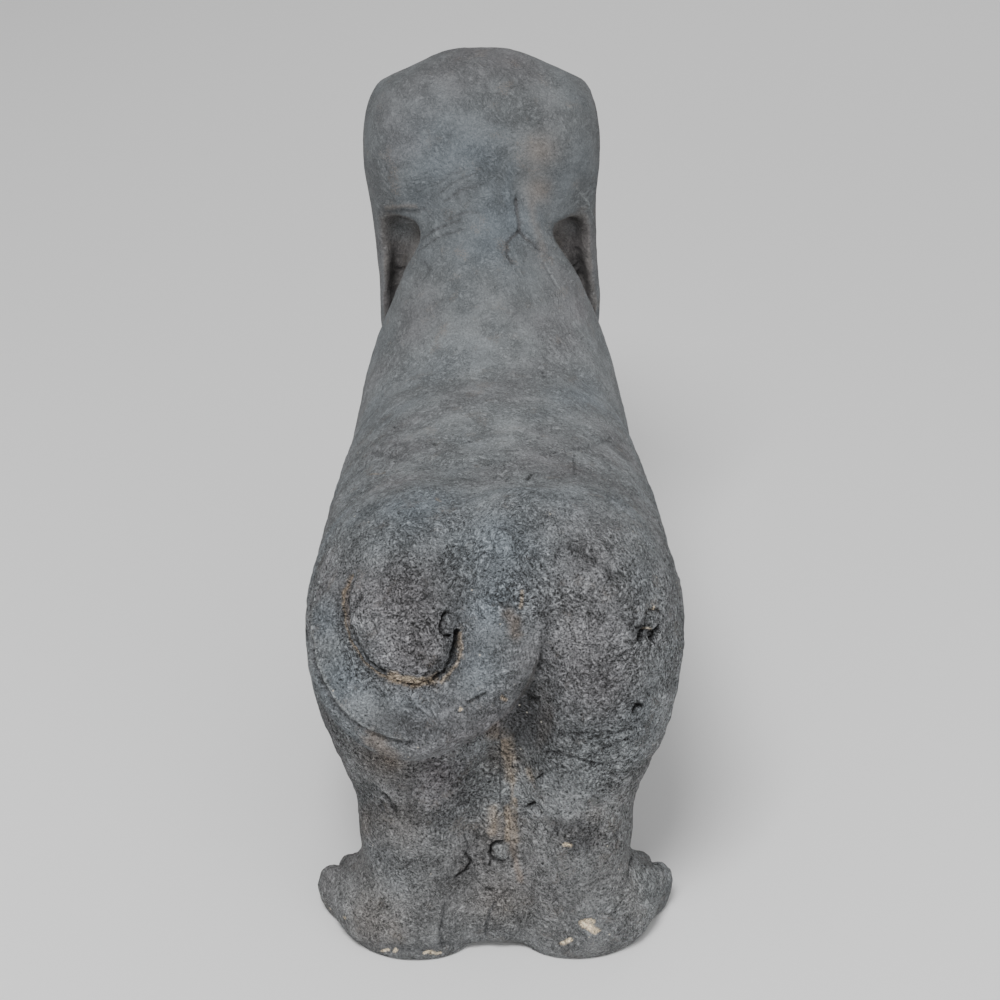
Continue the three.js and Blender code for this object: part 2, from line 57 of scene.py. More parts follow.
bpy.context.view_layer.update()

Points = np.ndarray
Field = Callable[[Points], np.ndarray]
Triple = tuple[float, float, float]
Rows = tuple[tuple[float, ...], ...]
Socket = bpy.types.NodeSocket

# Fields. A field takes points (n, 3) in modules of a centimetre, with y counted from the back of the
# haunches, and gives n distances that are negative inside its form. A limb is measured exactly only
# within FAR of it.

FAR = 4.0
TINY = 1e-9


def join(a: np.ndarray, b: np.ndarray, blend: float | np.ndarray) -> np.ndarray:
    """Joins two fields: the lesser of the two, less a quarter of blend times the square of their nearness.

    Args:
        a: Distances to the first form.
        b: Distances to the second form.
        blend: Width of the fillet between them.

    Returns:
        Distances to both forms as one.
    """
    near = np.maximum(blend - np.abs(a - b), 0.0) / blend
    return np.minimum(a, b) - near * near * blend / 4


def carve(a: np.ndarray, tool: np.ndarray, blend: float) -> np.ndarray:
    """Cuts tool out of a, which is the join of the two insides, turned inside out.

    Args:
        a: Distances to the form.
        tool: Distances to what is cut away.
        blend: Width of the rounded edge.

    Returns:
        Distances to what is left.
    """
    return -join(-a, tool, blend)


def joined(form: np.ndarray, *parts: tuple[np.ndarray, float]) -> np.ndarray:
    """Joins parts to a form in turn, each with the width of its own fillet."""
    for part, blend in parts:
        form = join(form, part, blend)
    return form


def smoothstep(values: np.ndarray, low: float, high: float) -> np.ndarray:
    """Rises from 0 at low to 1 at high, as three times the square less twice the cube of the share.

    Args:
        values: Where the step is wanted.
        low: Where it starts.
        high: Where it ends.

    Returns:
        The step, from 0 to 1.
    """
    share = np.clip((values - low) / (high - low), 0.0, 1.0)
    return share * share * (3 - 2 * share)


def mirrored(points: Points) -> Points:
    """The points with those of the left side carried over to the right."""
    return np.column_stack([np.abs(points[:, 0]), points[:, 1:]])


@dataclass(frozen=True)
class Ellipsoid:
    """An ellipsoid, turned about x, y and z by degrees."""

    centre: Triple
    radii: Triple
    turn: Triple = (0.0, 0.0, 0.0)

    def __call__(self, points: Points) -> np.ndarray:
        """Takes each point into the unit ball's space. The distance there, times that less one, is
        divided by how fast it grows there.

        Args:
            points: Points in modules.

        Returns:
            Distances to the ellipsoid.
        """
        a, b, c = (Matrix.Rotation(np.radians(t), 3, axis) for t, axis in zip(self.turn, "XYZ"))
        radii = np.array(self.radii)
        inner = (points - np.array(self.centre)) @ np.array(a @ b @ c) / radii
        share = np.linalg.norm(inner, axis=1)
        slope = np.maximum(np.linalg.norm(inner / radii, axis=1), TINY)
        return share * (share - 1) / slope


@dataclass(frozen=True)
class Limb:
    """A chain of tapering rods through stops (x, y, z, radius). Its section is flat times as wide."""

    stops: Points
    flat: float = 1.0

    def __call__(self, points: Points) -> np.ndarray:
        """Least distance to the rods, each less the radius at the nearest place along it.

        Args:
            points: Points in modules.

        Returns:
            Distances to the limb, or to a ball around it where it is far away.
        """
        stops = np.asarray(self.stops, float).copy()
        stops[:, 0] /= self.flat
        places = points / (self.flat, 1, 1)
        middle = (stops[:, :3].min(0) + stops[:, :3].max(0)) / 2
        reach = np.linalg.norm(stops[:, :3] - middle, axis=1).max() + stops[:, 3].max()
        gaps = np.linalg.norm(places - middle, axis=1) - reach
        near = gaps < FAR
        close = places[near]
        best = np.full(len(close), np.inf)
        for a, b in zip(stops[:-1], stops[1:]):
            run = b[:3] - a[:3]
            offset = close - a[:3]
            share = np.clip(offset @ run / (run @ run), 0, 1)
            gap = np.linalg.norm(offset - share[:, None] * run, axis=1)
            best = np.minimum(best, gap - a[3] - (b[3] - a[3]) * share)
        gaps[near] = best
        return gaps * min(self.flat, 1.0)


def cubic(p1: Points, p2: Points, start: Points, end: Points, share: np.ndarray) -> Points:
    """The cubic curve that leaves p1 with the speed start and reaches p2 with the speed end."""
    bend = -3 * p1 + 3 * p2 - 2 * start - end
    return p1 + start * share + bend * share**2 + (2 * p1 - 2 * p2 + start + end) * share**3


def spaced(values: Points, places: np.ndarray) -> Points:
    """A curve through values whose speed at each one suits the roots of the gaps beside it.

    Args:
        values: Points of any dimension, (m, d).
        places: Where the curve is wanted, from 0 to 1, the same share for each gap.

    Returns:
        Points on the curve, (n, d).
    """
    ends = np.vstack([2 * values[0] - values[1], values, 2 * values[-1] - values[-2]])
    at = np.minimum((places * (len(values) - 1)).astype(int), len(values) - 2)
    share = (places * (len(values) - 1) - at)[:, None]
    p0, p1, p2, p3 = (ends[at + i] for i in range(4))
    gap = [np.sqrt(np.linalg.norm(q - p, axis=1, keepdims=True)) for p, q in ((p0, p1), (p1, p2), (p2, p3))]
    middle = np.where(gap[1] < 1e-4, 1.0, gap[1])
    first = np.where(gap[0] < 1e-4, middle, gap[0])
    last = np.where(gap[2] < 1e-4, middle, gap[2])
    start = ((p1 - p0) / first - (p2 - p0) / (first + middle) + (p2 - p1) / middle) * middle
    end = ((p2 - p1) / middle - (p3 - p1) / (middle + last) + (p3 - p2) / last) * middle
    return cubic(p1, p2, start, end, share)


def smoothed(stops: Sequence[Sequence[float]], count: int) -> Points:
    """Stops of a limb made closer along a smooth curve, with the radius on a curve of its own.

    Args:
        stops: Points (x, y, z, radius).
        count: Number of gaps wanted.

    Returns:
        Stops of the same kind, count + 1 of them.
    """
    values = np.array(stops, float)
    places = np.linspace(0, 1, count + 1)
    return np.hstack([spaced(values[:, :3], places), spaced(values[:, 3:], places)])


@dataclass(frozen=True)
class Barrel:
    """A trunk along y through stations (y, centre z, half width, half height), with square sections."""

    stations: Points
    squareness: float
    end_blend: float

    def curves(self) -> Points:
        """Even cubic curves through the stations.

        Returns:
            Rows of y, centre, half width and half height, in order of y.
        """
        rows = np.asarray(self.stations, float)
        padded = np.vstack([rows[:1], rows, rows[-1:]])
        places = np.linspace(0, len(rows) - 1, 801)
        at = np.minimum(places.astype(int), len(rows) - 2)
        share = (places - at)[:, None]
        p0, p1, p2, p3 = (padded[at + i] for i in range(4))
        return cubic(p1, p2, (p2 - p0) / 2, (p3 - p1) / 2, share)

    def __call__(self, points: Points) -> np.ndarray:
        """Superellipse sections: the share out from the axis, less one, times the lesser half size. The
        two ends are cut off with a wide rounded edge.

        Args:
            points: Points in modules.

        Returns:
            Distances to the trunk.
        """
        table = self.curves()
        x, y, z = points.T
        middle, half, tall = (np.interp(y, table[:, 0], table[:, k]) for k in (1, 2, 3))
        share = np.abs(x / half) ** self.squareness + np.abs((z - middle) / tall) ** self.squareness
        side = (share ** (1 / self.squareness) - 1) * np.minimum(half, tall)
        ended = carve(side, y - table[0, 0], self.end_blend)
        return carve(ended, table[-1, 0] - y, self.end_blend)


@dataclass(frozen=True)
class Paw:
    """A paw turned outwards by splay degrees, with four toes fanned over its front."""

    heel: Triple
    long: float
    breadth: float
    tall: float
    splay: float

    def forms(self) -> list[Ellipsoid]:
        """The pad and the four toes, placed by how far ahead and across they are in the turned paw.

        Returns:
            The pad first, then the toes.
        """
        out = np.radians(self.splay)

        def ahead(reach: float, across: float) -> tuple[float, float]:
            """A place in the turned paw, as x and y."""
            x = self.heel[0] + np.sin(out) * reach + np.cos(out) * across
            return x, self.heel[1] + np.cos(out) * reach - np.sin(out) * across

        radii = (self.breadth, self.long * 0.5, self.tall)
        made = [Ellipsoid((*ahead(self.long * 0.36, 0), self.heel[2]), radii, (0, 0, -self.splay))]
        toe = (self.breadth * 0.31, self.long * 0.3, self.tall * 0.82)
        for place in (-1.5, -0.5, 0.5, 1.5):
            reach = self.long * (0.66 - 0.035 * place * place)
            spot = (*ahead(reach, place * self.breadth * 0.43), self.heel[2] * 0.88)
            made.append(Ellipsoid(spot, toe, (0, 0, -self.splay - place * 7)))
        return made

    def __call__(self, points: Points) -> np.ndarray:
        """Distances to the pad joined with its toes."""
        pad, *toes = self.forms()
        return joined(pad(points), *((toe(points), 0.3) for toe in toes))


@dataclass(frozen=True)
class Body:
    """The trunk, the haunches and the four legs, which the left side mirrors."""

    stations: Rows = (
        (1.9, 14.9, 6.9, 5.2), (6, 14.4, 8.0, 6.0), (12, 13.8, 8.3, 6.1), (18, 13.2, 8.1, 6.5),
        (24, 12.8, 7.5, 7.0), (29, 12.5, 6.4, 7.3), (33, 12.4, 5.5, 6.8), (36.4, 12.6, 4.2, 5.4),
    )
    squareness: float = 2.4
    end_blend: float = 4.5
    breast: Ellipsoid = Ellipsoid((0, 34.6, 13.2), (3.6, 3.2, 4.4))
    haunch: Ellipsoid = Ellipsoid((4.15, 6.3, 14.0), (3.9, 6.1, 6.2), (-10, -6, 0))
    buttock: Ellipsoid = Ellipsoid((-3.8, 2.8, 15.1), (2.9, 3.0, 3.1))
    shoulder: Ellipsoid = Ellipsoid((4.15, 30.9, 14.4), (2.5, 3.1, 5.4), (14, 0, 4))
    thigh: Rows = (
        (4.8, 8.6, 11.4, 3.1), (4.5, 8.6, 7.9, 2.0), (3.9, 5.6, 4.8, 1.9),
    )
    hind_leg: Rows = (
        (3.35, 4.6, 10.6, 3.35), (3.4, 3.8, 7.4, 2.75), (3.3, 3.4, 3.8, 2.5), (3.25, 3.3, 0.8, 2.55),
    )
    fore_leg: Rows = (
        (4.6, 30.6, 11.4, 2.5), (4.75, 30.4, 7.4, 2.15), (4.5, 31.3, 3.6, 1.95), (4.6, 32.2, 1.6, 2.0),
    )
    cleft: Rows = (
        (2.2, 0.2, 17.2, 0.3), (1.85, 0.1, 15.6, 0.6), (1.55, 0.3, 13.9, 0.85),
        (1.25, 0.7, 12.4, 1.05), (0.8, 1.3, 10.4, 0.75), (0.35, 1.8, 8.2, 0.4),
    )
    neck: Rows = (
        (0, 28.6, 14.2, 5.9), (0, 30.6, 18.6, 5.15), (0, 33.1, 22.6, 4.2), (0, 34.9, 26.2, 3.7),
    )
    hind_web: Ellipsoid = Ellipsoid((0, 5.2, 2.5), (2.8, 3.7, 9.4))
    fore_web: Ellipsoid = Ellipsoid((0, 31.6, 3.4), (3.2, 2.0, 7.4))
    hind_paw: Paw = Paw((4.2, 2.1, 1.1), 5.9, 2.35, 1.8, 27)
    fore_paw: Paw = Paw((4.4, 31.2, 1.5), 6.2, 2.2, 2.1, 12)

    def __call__(self, points: Points) -> np.ndarray:
        """Joins the forms from the trunk outwards, with the cleft under the tail cut between.

        Args:
            points: Points in modules.

        Returns:
            Distances to the body.
        """
        side = mirrored(points)
        form = joined(
            Barrel(np.array(self.stations), self.squareness, self.end_blend)(points),
            (self.breast(points), 2), (Limb(smoothed(self.neck, 28), 1.12)(points), 2.6),
            (self.haunch(side), 1.6), (Limb(np.array(self.thigh))(side), 1.2),
            (self.buttock(points), 1.0), (self.shoulder(side), 0.9),
            (Limb(smoothed(self.hind_leg, 14), 1.04)(side), 2.2), (Limb(np.array(self.fore_leg))(side), 1.4),
        )
        return joined(
            carve(form, Limb(smoothed(self.cleft, 18))(points), 0.7),
            (self.hind_web(points), 0.9), (self.fore_web(points), 0.9),
            (self.hind_paw(side), 1.7), (self.fore_paw(side), 0.9),
        )


@dataclass(frozen=True)
class Head:
    """The skull with its muzzle, brows, eyes, mouth and nose."""

    crown_flat: float = 0.85
    skull: Ellipsoid = Ellipsoid((0, 36.0, 28.3), (4.1, 4.9, 4.7))
    nape: Ellipsoid = Ellipsoid((0, 34.0, 26.2), (4.1, 3.2, 4.2))
    cheek: Ellipsoid = Ellipsoid((2.9, 37.8, 26.2), (2.1, 3.1, 2.6))
    brow: Ellipsoid = Ellipsoid((2.1, 39.2, 30.75), (1.8, 1.35, 0.95), (-20, 18, 0))
    socket: Ellipsoid = Ellipsoid((3.1, 40.6, 29.15), (1.4, 1.4, 1.15))
    eye: Ellipsoid = Ellipsoid((2.55, 39.5, 29.1), (1.15, 1.15, 1.0))
    nose: Ellipsoid = Ellipsoid((0, 47.0, 27.35), (1.35, 1.0, 0.95), (-12, 0, 0))
    ear_root: Ellipsoid = Ellipsoid((4.1, 34.9, 27.9), (1.9, 3.2, 3.7), (0, 6, 0))
    nostril: Ellipsoid = Ellipsoid((0.75, 47.9, 27.3), (0.4, 0.5, 0.34), (0, 0, 30))
    muzzle: Rows = (
        (0, 38.6, 27.3, 3.4), (0, 42.4, 26.7, 2.65), (0, 45.5, 26.3, 2.05),
    )
    jaw: Rows = (
        (0, 37.4, 25.0, 2.8), (0, 41.0, 24.6, 2.1), (0, 44.7, 24.5, 1.45),
    )
    mouth: Rows = (
        (0, 46.9, 24.7, 0.22), (1.0, 46.3, 24.7, 0.22), (1.75, 44.4, 24.8, 0.24),
        (2.3, 41.9, 24.95, 0.26), (2.85, 40.9, 25.3, 0.22),
    )

    def __call__(self, points: Points) -> np.ndarray:
        """Joins the bony forms to the skull, with the sockets, mouth and nostrils cut.

        Args:
            points: Points in modules.

        Returns:
            Distances to the head.
        """
        side = mirrored(points)
        crown = side - (self.crown_flat, 0, 0)
        crown[:, 0] = np.maximum(crown[:, 0], 0)
        form = joined(
            self.skull(crown), (self.nape(points), 1.6), (self.cheek(side), 1.4),
            (Limb(np.array(self.muzzle), 1.02)(points), 1.6), (Limb(np.array(self.jaw))(points), 1.1),
            (self.brow(side), 0.9),
        )
        form = carve(form, self.socket(side), 0.6)
        form = joined(form, (self.eye(side), 0.15), (self.nose(points), 0.35), (self.ear_root(side), 2.4))
        form = carve(form, Limb(smoothed(self.mouth, 12))(side), 0.2)
        return carve(form, self.nostril(side), 0.2)


@dataclass(frozen=True)
class Ears:
    """The two ears: thick at the top, and hanging past the jaw as a broad round flap."""

    top: Ellipsoid = Ellipsoid((4.8, 36.1, 27.0), (1.125, 3.1, 4.1), (0, 4, 0))
    flap: Ellipsoid = Ellipsoid((5.12, 36.3, 21.4), (0.75, 3.2, 5.1), (-4, -5, 6))
    backing: Ellipsoid = Ellipsoid((4.0, 37.2, 22.8), (1.3, 1.7, 4.4))
    hollow_top: Ellipsoid = Ellipsoid((4.3, 32.5, 24.1), (1.12, 1.6, 2.2), (0, -10, 0))
    hollow_foot: Ellipsoid = Ellipsoid((4.92, 32.6, 21.3), (0.45, 1.7, 3.3), (0, -7, 0))
    hollow_ledge: float = 24.8

    def __call__(self, points: Points) -> np.ndarray:
        """Distances to the top, the flap and the stone behind it, joined on both sides."""
        side = mirrored(points)
        return joined(self.top(side), (self.flap(side), 2.2), (self.backing(side), 0.8))

    def hollow(self, points: Points) -> np.ndarray:
        """Distances to the hollows behind the ears, from a ledge at the roots down to where the neck
        widens."""
        side = mirrored(points)
        form = join(self.hollow_top(side), self.hollow_foot(side), 0.5)
        return carve(form, self.hollow_ledge - side[:, 2], 1.0)


@dataclass(frozen=True)
class Tail:
    """The tail, dropping from the rump and curling up round the left haunch."""

    start: float = 1.95
    behind: float = -4.0
    nearness: float = 0.0035
    route: Rows = (
        (1.0, 19.3, 0.85, 1.05), (0.85, 18.4, 0.92, 0.85), (0.6, 17.2, 1, 0.5), (0.3, 15.8, 1, 0.2),
        (-0.45, 14.3, 0.94, 0.05), (-2.0, 13.1, 0.84, 0.05), (-3.9, 12.65, 0.76, 0.1),
        (-5.75, 13.2, 0.68, 0.15), (-7.0, 14.6, 0.58, 0.25), (-7.25, 16.2, 0.44, 0.3),
        (-6.8, 17.5, 0.22, 0.4),
    )

    def laid(self, body: Field) -> Limb:
        """Lays the tail on the back of the body: each stop (x, z, share of the thickness, how much of
        it is sunk) is carried forward along y until it meets the body.

        Args:
            body: The field that the tail lies on.

        Returns:
            The tail as a limb.
        """
        x, z, share, sink = np.array(self.route).T
        radius = share * self.start
        places = np.column_stack([x, np.full_like(x, self.behind), z])
        for _ in range(60):
            places[:, 1] += 0.7 * np.maximum(body(places) - self.nearness, 0)
        stops = np.column_stack([x, places[:, 1] + radius * sink, z, radius])
        return Limb(smoothed(stops, 36))

    def blend(self, points: Points) -> np.ndarray:
        """The tail grows out of the rump in a broad slope, and stands clear of the haunch below."""
        rise = smoothstep(points[:, 2], 15.2, 18.8) * smoothstep(points[:, 0], -4.5, -1.5)
        return 0.3 + 1.9 * rise


class Statue:
    """The whole form, as one field in metres in the frame of the CAD solid."""

    MODULE = 0.01
    SHIFT = np.array([-0.00118, 23.41639, 0.0])
    LEAN = 0.42
    ARCH = 0.35

    def __init__(self) -> None:
        """Makes the parts and lays the tail on the body."""
        self.body = Body()
        self.head = Head()
        self.ears = Ears()
        self.tail = Tail()
        self.laid = self.tail.laid(self.body)

    def __call__(self, places: Points) -> np.ndarray:
        """Joins body, head, ears and tail, and cuts them flat on the ground.

        Args:
            places: Points in metres.

        Returns:
            Distances in metres.
        """
        points = places / self.MODULE + self.SHIFT
        x, _, z = points.T
        arch = np.hypot(x / 4, z) - self.ARCH
        turned = points.copy()
        turned[:, 0] += self.LEAN * smoothstep(z, 19, 27)
        form = carve(self.body(points), arch, 0.3)
        form = join(form, self.head(turned), 1.2)
        form = carve(join(form, self.ears(turned), 0.8), self.ears.hollow(turned), 0.6)
        form = join(form, self.laid(points), self.tail.blend(points))
        return np.maximum(form, -z) * self.MODULE

    def slope(self, places: Points, reach: float = 1e-4) -> tuple[np.ndarray, Points]:
        """The field, and how it grows along each axis over a short step.

        Args:
            places: Points in metres.
            reach: Length of the step.

        Returns:
            The distances, and a row of slopes for each point.
        """
        value = self(places)
        rows = [(self(places + step) - value) / reach for step in np.eye(3) * reach]
        return value, np.column_stack(rows)

    def settled(self, places: Points, rounds: int = 1, cap: float = 0.0015) -> Points:
        """Moves points onto the surface: back along the slope by the distance over the slope.

        Args:
            places: Points in metres, near the surface.
            rounds: How often the step is made.
            cap: Longest step.

        Returns:
            The points on the surface.
        """
        for _ in range(rounds):
            value, slope = self.slope(places)
            size = np.maximum((slope**2).sum(1), 0.05)
            move = -(value / size)[:, None] * slope
            length = np.linalg.norm(move, axis=1, keepdims=True)
            places = places + move * np.minimum(1, cap / np.maximum(length, 1e-12))
        return places


class Grain:
    """Smooth random unevenness in space. It is seeded, so that each run gives the same surface."""

    CELLS = 256
    GAIN = 1.7

    def __init__(self, seed: int) -> None:
        """Draws the shuffled order and the directions that the noise looks up.

        Args:
            seed: Number that the drawing starts from.
        """
        draw = np.random.default_rng(seed)
        self.order = draw.permutation(self.CELLS)
        lines = draw.normal(size=(self.CELLS, 3))
        self.lines = lines / np.linalg.norm(lines, axis=1, keepdims=True)

    def __call__(self, places: Points) -> np.ndarray:
        """Gradient noise: each corner of the cell around a point has a direction, and the products of
        the directions with the offsets from the corners are blended by how near each corner is.

        Args:
            places: Points in cells.

        Returns:
            Values from about -1 to 1.
        """
        cell = np.floor(places).astype(np.int64)
        part = places - cell
        fade = part**3 * (part * (part * 6 - 15) + 10)
        total = np.zeros(len(places))
        for corner in np.ndindex(2, 2, 2):
            x, y, z = ((cell + corner) % self.CELLS).T
            row = self.order[(self.order[x] + y) % self.CELLS]
            index = self.order[(row + z) % self.CELLS]
            weight = np.where(corner, fade, 1 - fade).prod(1)
            total += weight * (self.lines[index] * (part - corner)).sum(1)
        return total * self.GAIN

    def clouds(self, places: Points, size: float, octaves: int = 3, keep: float = 0.5) -> np.ndarray:
        """Noise with finer and weaker noise added to it.

        Args:
            places: Points in metres.
            size: Size of the largest cells in metres.
            octaves: Number of layers, each half the size of the one before.
            keep: Strength of a layer as a share of the one before.

        Returns:
            Values from about -1 to 1.
        """
        scaled = places / size
        layers = [keep**k * self(scaled * 2**k + 17.3 * k) for k in range(octaves)]
        return np.sum(layers, axis=0) / sum(keep**k for k in range(octaves))

    def creases(self, places: Points, size: float, octaves: int = 2) -> np.ndarray:
        """Winding creases where the noise is near zero: one less twice the noise without its sign.

        Args:
            places: Points in metres.
            size: Size of the cells in metres.
            octaves: Number of layers.

        Returns:
            1 on the creases, falling to 0 and below between them.
        """
        scaled = places / size
        layers = [0.5**k * (1 - 2.2 * np.abs(self(scaled * 2**k + 9.1 * k))) for k in range(octaves)]
        return np.sum(layers, axis=0) / sum(0.5**k for k in range(octaves))


def rise(points: Points) -> np.ndarray:
    """How far up the picture points are, in metres: y and z by the sine and cosine of 25 degrees."""
    return points[:, 1] * 0.42 + points[:, 2] * 0.91


@dataclass(frozen=True)
class Sight:
    """The photograph's viewpoint: behind the dog, above it, and far enough off to flatten it a little.

    azimuth, elevation: degrees. distance: metres from the target. focal, frame: pixels. film: the
    camera's width in millimetres.
    """

    azimuth: float = -0.7
    elevation: float = 25.0
    distance: float = 1.20
    focal: float = 2350.0
    frame: int = 1000
    target: Triple = (0.004, -0.019, 0.134)
    film: float = 36.0

    def axes(self) -> tuple[np.ndarray, np.ndarray, np.ndarray]:
        """The directions to the right, up and backwards of the view, from its two angles."""
        turn, tip = np.radians([self.azimuth, self.elevation])
        back = np.array([np.sin(turn) * np.cos(tip), -np.cos(turn) * np.cos(tip), np.sin(tip)])
        right = np.array([np.cos(turn), np.sin(turn), 0.0])
        return right, np.cross(back, right), back

    def eye(self) -> np.ndarray:
        """The place that the view is taken from."""
        return np.array(self.target) + self.axes()[2] * self.distance

    def onto(self, spots: Sequence[tuple[float, float]], form: Field) -> Points:
        """Where lines of sight through spots of the picture meet a form. Each goes on by a share of the
        distance that is left.

        Args:
            spots: Places in the picture, to the right and down from its corner.
            form: The field that they fall on.

        Returns:
            Points on the form in metres.
        """
        right, up, back = self.axes()
        u, v = (np.array(spots, float) - self.frame / 2).T
        lines = -back * self.focal + u[:, None] * right - v[:, None] * up
        lines /= np.linalg.norm(lines, axis=1, keepdims=True)
        run = np.full(len(lines), self.distance - 0.33)
        for _ in range(40):
            left = form(self.eye() + run[:, None] * lines)
            run += 0.8 * np.clip(left, -0.01, 0.03)
        return self.eye() + run[:, None] * lines

    def camera(self) -> bpy.types.Object:
        """Makes the camera, with the frame's width in millimetres set against the focal length."""
        data = bpy.data.cameras.new("view")
        data.sensor_width = self.film
        data.lens = self.film * self.focal / self.frame
        data.clip_end = 20.0
        camera = bpy.data.objects.new("view", data)
        right, up, back = self.axes()
        turn = Matrix([[right[i], up[i], back[i]] for i in range(3)]).to_4x4()
        camera.matrix_world = Matrix.Translation(Vector(self.eye())) @ turn
        bpy.context.scene.collection.objects.link(camera)
        bpy.context.scene.camera = camera
        return camera


class Tone(Enum):
    """Colours of the stone, as linear red, green and blue, and of the painted light and shade laid on it."""

    STONE = (0.150, 0.160, 0.166)
    BLOOM = (0.126, 0.151, 0.174)
    # Mostly painted light: highlights on ridges and brighter patches where light falls.
    PALE = (0.235, 0.250, 0.255)
    PLUM = (0.150, 0.140, 0.147)
    EARTH = (0.185, 0.145, 0.115)
    SAND = (0.360, 0.285, 0.205)
    CREAM = (0.720, 0.600, 0.430)
    # Painted shade: the black deep in cracks, pits and gaps, and the shadow under the tail and in the right
    # ear's hollow.
    SOOT = (0.018, 0.018, 0.019)
    SHADE = (0.070, 0.072, 0.076)
    DUST = (0.146, 0.142, 0.138)


STONE, BLOOM, PALE, PLUM, EARTH, SAND, CREAM, SOOT, SHADE, DUST = Tone


def tinted(tones: Points, share: np.ndarray, tone: Tone) -> Points:
    """Colours taken towards a tone, each by its own share of the way."""
    return tones + share[:, None] * (np.array(tone.value) - tones)


@dataclass(frozen=True)
class Mark:
    """A line or spot on the statue, as the photograph's viewpoint sees it.

    path: places in the picture, x and y in turn. wide: half width in millimetres. deep: how far it goes
    in, or out where it is under 0. tone: its colour, laid on by strength. soft: share of the width that
    fades. ragged: how far its edges wander, in millimetres. Many marks are painted shade in cracks, pits,
    folds and valleys, and some are painted light on ridges.
    """

    path: tuple[float, ...]
    wide: float
    deep: float
    tone: Tone
    strength: float
    soft: float
    ragged: float


